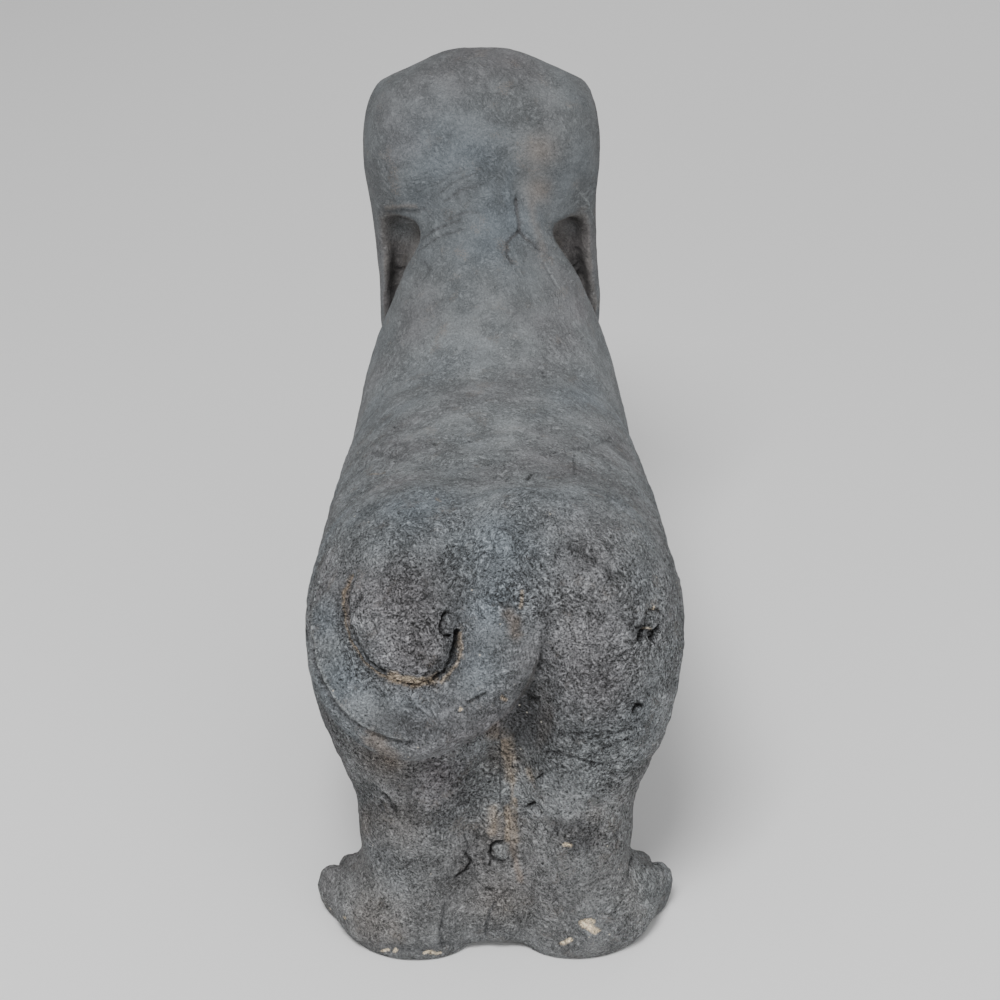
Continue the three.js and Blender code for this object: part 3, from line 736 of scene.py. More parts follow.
MARKS = (
    # The valley along the inside of the curled tail, with painted shade in it, and the seam at the bottom
    # of it, with painted shade in its cracks.
    Mark((352, 572, 344, 590, 342, 604, 345, 625, 352, 645, 364, 662, 380, 675, 396, 683, 413, 686, 430, 684,
         441, 678, 450, 664, 455, 650, 456, 630, 455, 606, 458, 580), 4.2, 1.7, SHADE, 0.38, 1, 1),
    Mark((350, 574, 343, 590, 341, 604, 343, 625, 350, 645, 362, 662, 378, 676, 394, 684, 412, 688, 430, 686,
         440, 681), 0.6, 1, SAND, 0.75, 0.6, 0.5),
    Mark((354, 576, 349, 590, 347, 606, 350, 628, 358, 648, 370, 663, 384, 674), 0.55, 1.4, SOOT, 0.75, 0.8,
         0.6),
    Mark((348, 576, 345, 590, 344, 606, 346, 624), 1.5, 0, EARTH, 0.5, 1, 1.5),
    Mark((392, 677, 402, 681, 414, 684, 428, 683, 436, 680), 2.3, 0.4, SAND, 0.8, 0.8, 1.2),
    Mark((404, 679, 412, 680, 421, 680), 1.4, -0.5, CREAM, 0.4, 1, 1),
    Mark((461, 634, 462, 650, 458, 664, 450, 675, 442, 683), 0.5, -0.3, SAND, 0.6, 0.8, 0.3),
    Mark((458, 632, 458, 650, 454, 662, 447, 673, 438, 681), 1.1, 4.5, SOOT, 1, 0.35, 0.5),
    Mark((438, 681, 424, 686, 408, 687, 396, 683), 0.5, 1.4, SOOT, 0.7, 0.7, 0.5),
    # The flake in the seam, with a painted highlight on it, and painted shade in the crack around it.
    Mark((447, 612, 455, 615, 459, 622), 0.35, 0.9, SOOT, 0.6, 0.7, 0.6),
    Mark((446, 612, 442, 621, 441, 629, 445, 635, 452, 636), 0.75, 2.4, SOOT, 1, 0.45, 0.6),
    Mark((450, 619, 451, 627), 1.9, -1.1, SHADE, 0.35, 1, 0.8),
    Mark((446, 617, 449, 621), 0.45, -0.3, PALE, 0.7, 0.8, 0.3),
    Mark((441, 632, 446, 628), 0.7, 1, SOOT, 0.8, 0.7, 0.2),
    # The thin raised line along the outer edge of the tail, with painted light on it and painted shade
    # below it.
    Mark((338, 562, 325, 575, 316, 592, 313, 612, 313, 634, 317, 656, 325, 680, 338, 702, 354, 718, 371, 729,
         390, 736, 408, 739), 0.6, -0.9, PALE, 0.7, 0.7, 0.35),
    Mark((312, 640, 314, 660, 322, 684, 335, 706, 351, 722, 369, 733, 390, 741, 410, 744), 1.3, 1.1, SHADE,
         0.75, 0.8, 0.4),
    # The rough underside of the tail, with painted shade along it, and strokes on it.
    Mark((372, 722, 390, 729, 412, 732, 440, 730, 464, 723, 486, 712, 500, 700), 4.5, 0, SHADE, 0.5, 1, 1.5),
    Mark((385, 716, 398, 721, 412, 724, 428, 722), 3.4, 0.5, SHADE, 0.55, 1, 2.5),
    Mark((468, 702, 477, 698, 486, 693), 0.7, 0.9, SOOT, 0.7, 0.7, 0.5),
    Mark((461, 709, 461, 709), 0.75, -0.2, CREAM, 1, 0.4, 0.1),
    Mark((522, 592, 522, 600, 521, 607), 0.8, 0.3, SAND, 0.6, 0.8, 0.6),
    Mark((508, 612, 514, 622, 516, 636), 2.8, 0, EARTH, 0.6, 1, 2),
    Mark((502, 698, 506, 700), 0.9, 0.3, SAND, 0.7, 0.8, 0.4),
    # Earth left under the tail and in the folds.
    Mark((372, 742, 384, 750, 393, 760), 5, 0, EARTH, 0.55, 1, 3),
    Mark((490, 728, 497, 734), 4, 0, EARTH, 0.6, 1, 2.5),
    Mark((432, 762, 438, 776), 5.5, 0, PLUM, 0.6, 1, 3),
    Mark((506, 742, 510, 760, 511, 776), 3, 0, SAND, 0.3, 1, 2.4),
    Mark((505, 742, 508, 756, 509, 772), 2, 0, SAND, 0.4, 1, 2),
    Mark((512, 776, 512, 800, 515, 826, 516, 842), 1.3, 0, SAND, 0.35, 1, 1.8),
    # Painted shade in the groove between the hind legs.
    Mark((500, 708, 500, 740, 500, 768, 500, 800), 0.5, 0.7, SHADE, 0.7, 0.8, 0.3),
    Mark((493, 808, 494, 822, 492, 832), 2, 0.2, SAND, 0.45, 1, 1.2),
    Mark((507, 808, 509, 822, 508, 838), 1.5, 0.2, SAND, 0.55, 1, 1),
    Mark((515, 800, 516, 806), 1, 0.2, SAND, 0.5, 1, 0.6),
    Mark((528, 772, 530, 778), 2, 0.2, SAND, 0.4, 1, 1.2),
    Mark((512, 842, 516, 860, 520, 880), 1.6, 0.2, EARTH, 0.55, 1, 1.2),
    # The fold beside the tail, with painted shade in it.
    Mark((548, 600, 546, 625, 545, 650, 538, 672, 530, 690), 2, 0.8, SHADE, 0.55, 1, 1.5),
    Mark((524, 700, 526, 716, 530, 730), 4.2, 0.6, SHADE, 0.6, 1, 1.5),
    Mark((531, 700, 540, 697), 0.7, 0.8, SOOT, 0.8, 0.6, 0.3),
    Mark((528, 694, 533, 701), 0.6, 0.6, SOOT, 0.7, 0.6, 0.3),
    Mark((543, 648, 541, 660, 539, 668), 0.6, 0.9, SOOT, 0.6, 0.7, 0.5),
    Mark((550, 645, 554, 652, 561, 658), 0.6, 0.7, SOOT, 0.5, 0.7, 0.5),
    # Pits in the right haunch, with painted shade in them and painted light on the rim above them.
    Mark((646, 628, 643, 632, 641, 640), 1.6, 3.8, SOOT, 1, 0.3, 0.9),
    Mark((657, 628, 655, 633, 652, 638), 1.5, 3.6, SOOT, 1, 0.3, 0.8),
    Mark((637, 628, 640, 627), 0.6, 1, SOOT, 0.8, 0.6, 0.5),
    Mark((645, 628, 650, 632, 655, 630), 0.5, 1.2, SOOT, 0.9, 0.5, 0.3),
    Mark((648, 628, 651, 629), 0.4, -0.3, CREAM, 0.6, 0.5, 0.2),
    Mark((649, 634, 649, 637), 0.7, 2, SOOT, 0.6, 0.6, 0.5),
    Mark((653, 612, 651, 619, 650, 625), 1.6, -0.8, PALE, 0.3, 0.7, 0.3),
    Mark((646, 612, 645, 620, 645, 626), 0.5, 0.9, SHADE, 0.9, 0.6, 0.3),
    Mark((648, 609, 658, 610, 661, 613), 0.5, 0.9, SOOT, 0.9, 0.6, 0.3),
    Mark((653, 607, 653, 608), 0.5, -0.2, CREAM, 1, 0.4, 0.1),
    Mark((651, 642, 652, 652, 653, 660), 0.4, 0.6, SHADE, 0.8, 0.7, 0.3),
    Mark((634, 713, 636, 706, 643, 706), 0.95, 2.2, SOOT, 1, 0.45, 0.6),
    # Nicks across the haunches, with painted shade in them.
    Mark((571, 549, 584, 553, 596, 560), 0.55, 1, SHADE, 0.8, 0.8, 0.8),
    Mark((559, 548, 556, 556, 553, 566), 0.6, 0.9, SHADE, 0.7, 0.9, 0.8),
    Mark((566, 578, 563, 586, 562, 596), 0.6, 1, SHADE, 0.7, 0.9, 0.8),
    Mark((596, 563, 610, 572, 628, 574), 0.5, 0.7, SHADE, 0.6, 0.9, 0.8),
    Mark((594, 602, 600, 612, 598, 622), 0.5, 0.8, SHADE, 0.6, 0.9, 0.8),
    Mark((586, 640, 600, 652, 614, 652), 0.5, 0.8, SHADE, 0.6, 0.9, 0.8),
    Mark((600, 668, 616, 660, 626, 650), 0.5, 0.8, SHADE, 0.6, 0.9, 0.8),
    Mark((384, 566, 396, 562, 410, 566), 0.5, 0.8, SHADE, 0.6, 0.9, 0.8),
    Mark((372, 612, 384, 618, 398, 616), 0.5, 0.8, SHADE, 0.6, 0.9, 0.8),
    Mark((398, 640, 412, 646, 430, 642), 0.5, 0.8, SHADE, 0.6, 0.9, 0.8),
    Mark((404, 596, 420, 600, 432, 594), 0.5, 0.8, SHADE, 0.6, 0.9, 0.8),
    # Folds across the back of the right thigh, with painted shade in them and painted light on the ridges
    # beside them.
    Mark((551, 736, 572, 734, 598, 733, 618, 732, 634, 729), 0.5, 0.8, SHADE, 0.6, 0.8, 0.6),
    Mark((586, 752, 604, 744, 622, 736, 640, 729), 0.7, -0.8, PALE, 0.3, 1, 0.5),
    Mark((588, 757, 606, 748, 624, 740, 640, 733), 0.7, 0.8, SHADE, 0.5, 1, 0.5),
    Mark((546, 752, 566, 755, 584, 761, 603, 766), 0.8, 1.1, SHADE, 0.6, 0.9, 0.6),
    Mark((544, 748, 566, 750, 586, 756), 0.9, -0.5, PALE, 0.25, 1, 0.5),
    Mark((536, 779, 543, 774), 0.5, 1, SOOT, 0.9, 0.6, 0.3),
    Mark((528, 806, 535, 802), 0.7, 1.5, SOOT, 0.95, 0.5, 0.3),
    # The rough dark patch on the right hock, with a chip in it.
    Mark((556, 828, 568, 827, 582, 825, 594, 830, 586, 841, 572, 843), 4.4, 0.6, SHADE, 0.75, 1, 3.5),
    Mark((564, 845, 571, 846), 0.8, 0.3, CREAM, 1, 0.5, 0.5),
    # Pits and strokes on the left hock, with painted shade in them.
    Mark((386, 795, 390, 803, 394, 810), 1.6, 1.2, SOOT, 0.75, 0.8, 1.6),
    Mark((380, 802, 384, 812), 1.2, 0.8, SHADE, 0.8, 0.9, 1.4),
    Mark((374, 786, 380, 790), 1, 0.6, SHADE, 0.6, 0.9, 0.8),
    Mark((406, 867, 415, 860), 0.5, 0.8, SOOT, 0.7, 0.7, 0.4),
    Mark((464, 834, 468, 848, 466, 856), 0.4, 0.7, SHADE, 0.8, 0.7, 0.3),
    Mark((466, 854, 471, 862, 467, 870, 458, 876), 0.7, 1.6, SOOT, 0.9, 0.6, 0.4),
    Mark((458, 877, 446, 878), 0.4, 0.5, SHADE, 0.8, 0.7, 0.4),
    # The pebble between the heels, raised and paler, with painted shade in the gaps round it.
    Mark((500, 847, 501, 853), 2.9, -2.2, PALE, 0.5, 0.35, 0.8),
    Mark((502, 841, 496, 842, 491, 847, 490, 854, 492, 859), 0.6, 2.4, SOOT, 1, 0.5, 0.6),
    Mark((494, 860, 501, 861, 507, 857), 0.5, 1, SHADE, 0.8, 0.7, 0.3),
    Mark((476, 838, 484, 836, 492, 842), 0.5, 0.9, SOOT, 0.7, 0.7, 0.5),
    Mark((490, 860, 489, 866), 0.5, 0.9, SOOT, 0.8, 0.6, 0.2),
    # Creases towards the soles, with painted shade in them and along the bottom of the paws.
    Mark((496, 902, 490, 912, 486, 924, 485, 934), 0.8, 1.3, SHADE, 0.7, 0.9, 0.5),
    Mark((445, 904, 443, 920, 440, 934, 444, 948), 0.7, 1, SHADE, 0.6, 0.9, 0.6),
    Mark((486, 888, 492, 890), 0.7, 1, SOOT, 0.7, 0.7, 0.5),
    Mark((556, 900, 560, 896), 0.5, 0.6, SHADE, 0.7, 0.7, 0.3),
    Mark((632, 858, 628, 868, 627, 876), 0.8, 1.3, SHADE, 0.7, 0.8, 0.3),
    Mark((644, 862, 647, 867), 0.5, 0.8, SOOT, 0.7, 0.7, 0.3),
    Mark((332, 934, 360, 944, 390, 948, 430, 951), 2.2, 0.4, SHADE, 0.5, 1, 1.5),
    Mark((440, 946, 460, 944, 480, 942), 1.8, 0.4, SHADE, 0.55, 1, 1.5),
    # Chips, where the pale inside of the cast shows.
    Mark((583, 924, 590, 925, 597, 930), 1.5, 0.7, CREAM, 1, 0.3, 1.6),
    Mark((586, 920, 594, 921), 0.9, 0.4, CREAM, 1, 0.3, 1),
    Mark((589, 929, 595, 933), 0.8, 0.4, CREAM, 0.9, 0.4, 1),
    Mark((562, 943, 571, 940), 1.1, 0.5, CREAM, 1, 0.3, 1.2),
    Mark((382, 951, 388, 950), 0.7, 0.2, CREAM, 0.95, 0.4, 0.6),
    Mark((395, 951, 396, 950), 0.9, 0.3, CREAM, 0.95, 0.4, 0.5),
    Mark((425, 953, 440, 953), 0.8, 0.2, CREAM, 0.8, 0.4, 0.8),
    Mark((344, 917, 346, 918), 0.5, 0.1, CREAM, 0.9, 0.4, 0.3),
    Mark((330, 908, 331, 909), 0.4, 0.1, CREAM, 0.8, 0.4, 0.2),
    # The rump: the edge of the smoother saddle, with painted shade along it and painted light above it,
    # and pits behind it, with painted shade in them.
    Mark((372, 452, 398, 458, 424, 464, 450, 468, 476, 467, 502, 461, 530, 455, 560, 452, 590, 446, 612,
         438), 1.2, 0.8, SHADE, 0.3, 1, 1),
    Mark((384, 447, 420, 456, 455, 461, 490, 456, 520, 449), 1.8, -0.6, PALE, 0.2, 1, 1),
    Mark((526, 480, 532, 474), 0.9, 1.1, SOOT, 0.75, 0.7, 0.6),
    Mark((518, 488, 521, 487), 0.7, 1, SOOT, 0.8, 0.7, 0.4),
    Mark((512, 474, 506, 482), 0.7, 0.5, SHADE, 0.5, 0.9, 0.6),
    Mark((522, 440, 534, 438, 544, 435), 0.8, 0.9, SOOT, 0.6, 0.9, 1.4),
    Mark((508, 452, 518, 451), 0.6, 0.8, SOOT, 0.6, 0.9, 0.8),
    Mark((468, 440, 472, 442), 0.8, 0.9, SOOT, 0.7, 0.9, 0.6),
    Mark((433, 444, 437, 446), 0.6, 0.7, SOOT, 0.7, 0.9, 0.6),
    Mark((362, 458, 366, 455), 0.6, 0.7, SOOT, 0.8, 0.9, 0.4),
    Mark((393, 427, 396, 427), 0.6, 0.6, SOOT, 0.6, 0.9, 0.4),
    Mark((370, 474, 384, 473), 0.5, 0.5, SAND, 0.5, 0.9, 0.8),
    Mark((436, 497, 440, 502), 0.5, 0.5, SAND, 0.45, 0.9, 0.6),
    Mark((500, 526, 508, 532, 514, 538), 0.6, 0.7, SHADE, 0.6, 0.9, 0.8),
    Mark((573, 455, 574, 466, 576, 474), 0.6, 0.6, SHADE, 0.5, 0.9, 0.8),
    Mark((542, 370, 545, 376), 0.8, 0.7, SHADE, 0.6, 0.9, 0.5),
    Mark((470, 396, 476, 395), 0.7, 0.4, SHADE, 0.6, 0.9, 0.5),
    Mark((588, 342, 589, 346), 0.9, 0.8, SHADE, 0.6, 0.9, 0.4),
    Mark((545, 348, 546, 380, 542, 410, 540, 440), 1, 0.3, SHADE, 0.22, 1, 2),
    # The nape: a ridge with a crack beside it, a lump, and the ledges over the ears' hollows. The crack
    # and the fold at the right of the neck hold painted shade, with lines of painted light beside the fold.
    Mark((516, 198, 518, 214, 520, 231), 1.1, 1.3, SHADE, 1, 0.8, 0.6),
    Mark((520, 231, 513, 236, 507, 243, 506, 254, 512, 262), 0.9, 1.1, SHADE, 0.95, 0.8, 0.8),
    Mark((520, 231, 529, 240, 540, 249), 1, 1.1, SHADE, 0.9, 0.8, 0.8),
    Mark((524, 262, 527, 254, 524, 246), 0.5, 0.5, SHADE, 0.5, 0.9, 0.6),
    Mark((512, 168, 508, 184, 509, 204, 513, 226), 2.8, -0.9, BLOOM, 0.3, 1, 0.8),
    Mark((531, 204, 534, 222, 540, 238, 544, 250), 2, -0.6, EARTH, 0.2, 1, 0.8),
    Mark((543, 262, 550, 274, 557, 288), 0.6, 0.8, SHADE, 0.7, 0.9, 0.6),
    Mark((549, 271, 556, 281, 560, 290), 0.5, -0.4, PALE, 0.5, 0.9, 0.8),
    Mark((572, 322, 583, 336, 590, 348), 0.5, -0.4, PALE, 0.5, 0.9, 1),
    Mark((576, 188, 588, 203, 593, 218), 0.6, -0.5, PALE, 0.5, 0.9, 0.5),
    # Wrinkles across the left of the nape, and the fold below the left ear, with painted shade in them.
    Mark((438, 185, 452, 174, 470, 169), 0.5, 0.45, SHADE, 0.45, 1, 0.6),
    Mark((440, 193, 458, 180, 476, 174), 0.5, 0.45, SHADE, 0.45, 1, 0.6),
    Mark((444, 202, 462, 190, 478, 186), 0.7, 0.7, SHADE, 0.6, 1, 0.6),
    Mark((446, 220, 466, 212, 480, 213), 0.7, 0.7, SHADE, 0.65, 1, 0.6),
    Mark((422, 239, 438, 228, 460, 220), 0.7, 0.7, SHADE, 0.7, 1, 0.6),
    Mark((418, 250, 440, 236, 463, 229), 0.7, 0.7, SHADE, 0.65, 1, 0.6),
    Mark((424, 262, 430, 270, 422, 280), 0.8, 0.7, SHADE, 0.6, 1, 0.8),
    Mark((386, 166, 390, 176, 386, 184), 0.7, 0.4, SHADE, 0.35, 1, 0.8),
    Mark((400, 372, 382, 392, 368, 418), 0.6, 0.4, PALE, 0.3, 1, 0.8),
    # Painted shade under the ledge over the left ear's hollow.
    Mark((388, 214, 402, 212, 414, 213, 424, 209), 1.3, 0.8, SHADE, 0.5, 1, 1),
    Mark((386, 208, 402, 206, 416, 206), 1.3, -0.6, EARTH, 0.25, 1, 0.8),
    Mark((484, 84, 488, 88), 1, 0.5, SHADE, 0.6, 1, 0.6),
    Mark((488, 120, 498, 122), 1.2, 0.5, SHADE, 0.4, 1, 0.8),
)


@dataclass(frozen=True)
class TintAndShading:
    """A broad patch of colour on the back of the statue: spot and radius in the picture, colour and
    strength. Some are tints of the stone, and some are painted light and painted shade.
    """

    spot: tuple[float, float]
    radius: float
    tone: Tone
    strength: float


# The blue, violet and earth patches are tints of the stone. The pale ones are painted light on the back, the
# ears' hollows, the haunches, the right thigh, the web and the paws. The dark ones are painted shade: the
# shadow under the tail, the fold beside it, the right ear's hollow and the legs.
TINTS_AND_SHADING = (
    TintAndShading((420, 510), 42, BLOOM, 0.5), TintAndShading((500, 545), 40, BLOOM, 0.55), TintAndShading((500, 600), 30, BLOOM, 0.5),
    TintAndShading((340, 520), 30, BLOOM, 0.3), TintAndShading((325, 620), 18, BLOOM, 0.6), TintAndShading((345, 680), 22, BLOOM, 0.55),
    TintAndShading((420, 706), 26, BLOOM, 0.5), TintAndShading((478, 670), 26, BLOOM, 0.5), TintAndShading((400, 600), 34, PLUM, 0.8),
    TintAndShading((415, 650), 34, PLUM, 0.8), TintAndShading((590, 640), 48, PLUM, 0.7), TintAndShading((590, 560), 34, PLUM, 0.4),
    TintAndShading((600, 690), 28, PLUM, 0.5), TintAndShading((560, 500), 26, BLOOM, 0.3), TintAndShading((440, 780), 30, PLUM, 0.6),
    TintAndShading((380, 760), 26, EARTH, 0.4), TintAndShading((505, 760), 16, EARTH, 0.6), TintAndShading((500, 830), 18, EARTH, 0.35),
    TintAndShading((400, 820), 26, EARTH, 0.18), TintAndShading((370, 920), 28, EARTH, 0.25), TintAndShading((500, 900), 24, EARTH, 0.25),
    TintAndShading((640, 900), 22, EARTH, 0.2), TintAndShading((470, 360), 60, PALE, 0.2), TintAndShading((500, 425), 55, PALE, 0.34),
    TintAndShading((440, 150), 50, BLOOM, 0.4), TintAndShading((500, 230), 40, BLOOM, 0.35), TintAndShading((540, 150), 16, EARTH, 0.35),
    TintAndShading((538, 190), 14, EARTH, 0.35), TintAndShading((395, 240), 20, PLUM, 0.4), TintAndShading((575, 240), 20, PLUM, 0.4),
    TintAndShading((385, 300), 18, PLUM, 0.4), TintAndShading((580, 310), 16, PLUM, 0.4), TintAndShading((402, 228), 13, PALE, 0.8),
    TintAndShading((572, 228), 10, PALE, 0.5), TintAndShading((578, 262), 13, SOOT, 0.7), TintAndShading((510, 770), 26, PALE, 0.35),
    TintAndShading((534, 714), 27, SOOT, 1), TintAndShading((530, 690), 14, SOOT, 0.6), TintAndShading((518, 738), 12, SHADE, 0.5),
    TintAndShading((546, 660), 12, SHADE, 0.5), TintAndShading((548, 625), 10, SHADE, 0.35), TintAndShading((410, 726), 24, SHADE, 0.3),
    TintAndShading((570, 705), 20, SHADE, 0.25), TintAndShading((470, 720), 14, SHADE, 0.3), TintAndShading((648, 892), 30, PALE, 0.8),
    TintAndShading((500, 790), 26, PALE, 0.45), TintAndShading((600, 640), 50, PALE, 0.2), TintAndShading((400, 630), 40, PALE, 0.15),
    TintAndShading((600, 770), 34, PALE, 0.4), TintAndShading((345, 905), 22, PALE, 0.1), TintAndShading((468, 800), 22, SHADE, 0.3),
    TintAndShading((450, 860), 24, SHADE, 0.22), TintAndShading((560, 870), 24, SHADE, 0.15), TintAndShading((380, 830), 26, SHADE, 0.12),
)


def rope_gap(places: Points, rope: Points) -> np.ndarray:
    """Distance from each point to the nearest place on a chain of straight runs.

    Args:
        places: Points in metres.
        rope: The chain's points, at least two.

    Returns:
        Distances in metres.
    """
    best = np.full(len(places), np.inf)
    for a, b in zip(rope[:-1], rope[1:]):
        run = b - a
        offset = places - a
        share = np.clip(offset @ run / max(run @ run, 1e-12), 0, 1)
        best = np.minimum(best, np.linalg.norm(offset - share[:, None] * run, axis=1))
    return best


def beside(places: Points, rope: Points, reach: float) -> np.ndarray:
    """Whether each point is in the box round a chain, widened by reach."""
    return ((places > rope.min(0) - reach) & (places < rope.max(0) + reach)).all(1)


@dataclass
class Skin:
    """The statue's skin: even quads laid on the form, with the worked surface on them.

    voxel: size of the quads in metres. finer, coarser: factors for it at the haunches and the muzzle.
    mill: a millimetre. fine: half width of the widest mark that the quads are split for. shading: how
    much painted light the ridges of the relief get, and painted shade its low places. edges, ropes: the
    ends of each edge, and each mark's path on the form.
    """

    form: Statue
    sight: Sight
    voxel: float = 0.00252
    finer: float = 1.25
    coarser: float = 0.86
    mill: float = 0.001
    fine: float = 1.7
    shading: float = 0.20
    edges: np.ndarray = field(init=False)
    ropes: list[Points] = field(init=False)

    def density(self, y: np.ndarray) -> np.ndarray:
        """How much finer than the voxel the skin is: most at the haunches, least at the muzzle."""
        return self.finer + (self.coarser - self.finer) * smoothstep(y, -0.17, 0.02)

    def stretched(self, points: Points, back: bool = False) -> Points:
        """Carries points into a space where the finer parts are larger, or back from it. y goes by the
        running sum of the density, and x and z are multiplied by it.

        Args:
            points: Points in metres.
            back: Whether they come back from that space.

        Returns:
            The points there.
        """
        y = np.linspace(-0.3, 0.3, 2001)
        means = (self.density(y[1:]) + self.density(y[:-1])) / 2
        along = np.concatenate([[0], np.cumsum(means * (y[1] - y[0]))])
        real = np.interp(points[:, 1], along, y) if back else points[:, 1]
        scale = self.density(real)
        if back:
            return np.column_stack([points[:, 0] / scale, real, points[:, 2] / scale])
        return np.column_stack([points[:, 0] * scale, np.interp(real, y, along), points[:, 2] * scale])

    def remeshed(self, node: bpy.types.Object, name: str) -> bpy.types.Object:
        """Merges a copy of the CAD node's mesh, and remeshes it with voxels in the stretched space.

        Args:
            node: The CAD node.
            name: The new piece's name.

        Returns:
            The new piece, back in the real space.
        """
        mesh = node.data.copy()
        work = bmesh.new()
        work.from_mesh(mesh)
        bmesh.ops.remove_doubles(work, verts=work.verts, dist=1e-5)
        work.to_mesh(mesh)
        work.free()
        mesh.name = name
        write_points(mesh, self.stretched(read_points(mesh)))
        coarse = bpy.data.objects.new(name, mesh)
        bpy.context.scene.collection.objects.link(coarse)
        remesh = coarse.modifiers.new("even", "REMESH")
        remesh.mode = "VOXEL"
        remesh.voxel_size = self.voxel
        fine = bpy.data.meshes.new_from_object(coarse.evaluated_get(bpy.context.evaluated_depsgraph_get()))
        coarse.modifiers.clear()
        coarse.data = fine
        bpy.data.meshes.remove(mesh)
        fine.name = name
        write_points(fine, self.stretched(read_points(fine), back=True))
        return coarse

    def eased(self, points: Points, normals: Points, share: float) -> Points:
        """Evens out the skin: each point goes a share of the way to the mean of its neighbours, along
        the surface only.

        Args:
            points: The skin's points.
            normals: Their normals.
            share: Share of the way.

        Returns:
            The points after it.
        """
        a, b = self.edges.T
        count = np.bincount(self.edges.ravel(), minlength=len(points))
        mean = [np.bincount(a, points[b, k], len(points)) + np.bincount(b, points[a, k], len(points))
                for k in range(3)]
        move = np.column_stack(mean) / count[:, None] - points
        move -= (move * normals).sum(1, keepdims=True) * normals
        return points + share * move

    def relief(self, points: Points) -> np.ndarray:
        """Height of the worked surface. Broad clouds stand for the hand that pressed the clay, winding
        creases for its crinkles, and clouds of clouds say where it is rough. It fades at the soles.

        Args:
            points: Points on the form.

        Returns:
            Heights in metres.
        """
        broad, fine, where = Grain(3), Grain(11), Grain(29)
        warped = points + 0.004 * np.column_stack([Grain(40 + k).clouds(points, 0.012, 2) for k in range(3)])
        rough = 0.95 + 0.6 * where.clouds(points, 0.03, 2)
        calm = 1.5 - 0.95 * smoothstep(rise(points), 0.09, 0.19)
        height = 0.70 * broad.clouds(points, 0.045, 2)
        height += 0.45 * calm * broad.clouds(points + 0.3, 0.016, 2)
        furrows = np.maximum(fine.creases(warped + 0.11, 0.013, 2) - 0.45, 0)
        crinkles = 0.34 * fine.creases(warped, 0.0105, 3) - 0.55 * furrows
        height += calm * rough * (crinkles + 0.30 * fine.clouds(warped + 0.2, 0.005, 2))
        return height * self.mill * smoothstep(points[:, 2], 0.0, 0.006)

    def closer(self, path: Points) -> Points:
        """A path with five more points in each of its gaps, evenly between the two ends."""
        steps = np.linspace(0, len(path) - 1, 1 + 6 * (len(path) - 1))
        return np.column_stack([np.interp(steps, range(len(path)), path[:, k]) for k in (0, 1)])

    def laid(self) -> list[Points]:
        """Lays the path of each mark on the form.

        Returns:
            The points of each path in metres.
        """
        paths = [self.closer(np.reshape(mark.path, (-1, 2)).astype(float)) for mark in MARKS]
        points = self.sight.onto(np.vstack(paths), self.form)
        return np.split(points, np.cumsum([len(path) for path in paths])[:-1])

    def refined(self, mesh: bpy.types.Mesh) -> None:
        """Splits the edges beside the narrow marks, those nearer than the mark's half width, its wander
        and an edge's length, so that cracks and chips keep sharp edges.

        Args:
            mesh: The skin, with its points on the form.
        """
        middle = read_points(mesh)[read_edges(mesh)].mean(1)
        chosen = np.zeros(len(middle), bool)
        for mark, rope in zip(MARKS, self.ropes):
            if mark.wide > self.fine:
                continue
            reach = (mark.wide * 1.3 + mark.ragged * 0.5 + 0.7) * self.mill
            near = beside(middle, rope, reach) & ~chosen
            chosen[near] = rope_gap(middle[near], rope) < reach
        mesh.edges.foreach_set("select", chosen)
        work = bmesh.new()
        work.from_mesh(mesh)
        picked = [edge for edge in work.edges if edge.select]
        bmesh.ops.subdivide_edges(work, edges=picked, cuts=2, use_grid_fill=True)
        work.to_mesh(mesh)
        work.free()
        write_points(mesh, self.form.settled(read_points(mesh)))

    def marked(self, points: Points, tones: Points) -> tuple[np.ndarray, Points]:
        """Works in the marks. The strength of a mark falls from its middle to its edge as a smooth step
        of the distance from its path, with the points first shifted by noise.

        Args:
            points: Points on the form.
            tones: Their colours.

        Returns:
            Heights in metres, and the new colours.
        """
        height = np.zeros(len(points))
        drift = np.column_stack([Grain(60 + k).clouds(points, 0.004, 2) for k in range(3)])
        for mark, rope in zip(MARKS, self.ropes):
            reach = (mark.wide * 2 + mark.ragged * 2) * self.mill
            near = beside(points, rope, reach)
            gap = rope_gap(points[near] + drift[near] * mark.ragged * self.mill, rope) / self.mill
            inner = mark.wide * (1 - 0.75 * mark.soft)
            share = 1 - smoothstep(gap, inner, mark.wide * (1 + 0.6 * mark.soft))
            height[near] -= mark.deep * share * self.mill
            tones[near] = tinted(tones[near], share * mark.strength, mark.tone)
        return height, tones

    def toned(self, points: Points, normals: Points, hollow: np.ndarray) -> Points:
        """Colours of the stone: a slow drift between grey, blue and violet grey, with painted light where it
        faces up and painted shade higher up towards the head, browner in hollows, and then the broad tints
        of the back, among them patches of painted light and painted shade.

        Args:
            points: Points on the form.
            normals: Their normals.
            hollow: How hollow the form is there.

        Returns:
            Linear colours, one row a point.
        """
        drift = Grain(71).clouds(points, 0.05, 3)
        other = Grain(72).clouds(points, 0.035, 3)
        height = points[:, 2]
        tones = np.tile(STONE.value, (len(points), 1))
        for share, tone in ((drift, BLOOM), (-drift, PLUM)):
            tones = tinted(tones, 0.9 * np.clip(share, 0, 1), tone)
        # Painted light: paler where the surface faces up.
        tones = tinted(tones, 0.10 * np.clip(normals[:, 2], 0, 1), PALE)
        # Painted shade: darker higher up, over the neck and head.
        tones *= 1 - 0.29 * smoothstep(rise(points), 0.15, 0.25)[:, None]
        tones = tinted(tones, 0.45 * (1 - smoothstep(height, 0.06, 0.13)), DUST)
        soil = smoothstep(other, 0.25, 0.8) * (1 - smoothstep(height, 0.05, 0.16))
        tones = tinted(tones, 0.45 * soil + 0.25 * smoothstep(hollow, 0.4, 1.1), EARTH)
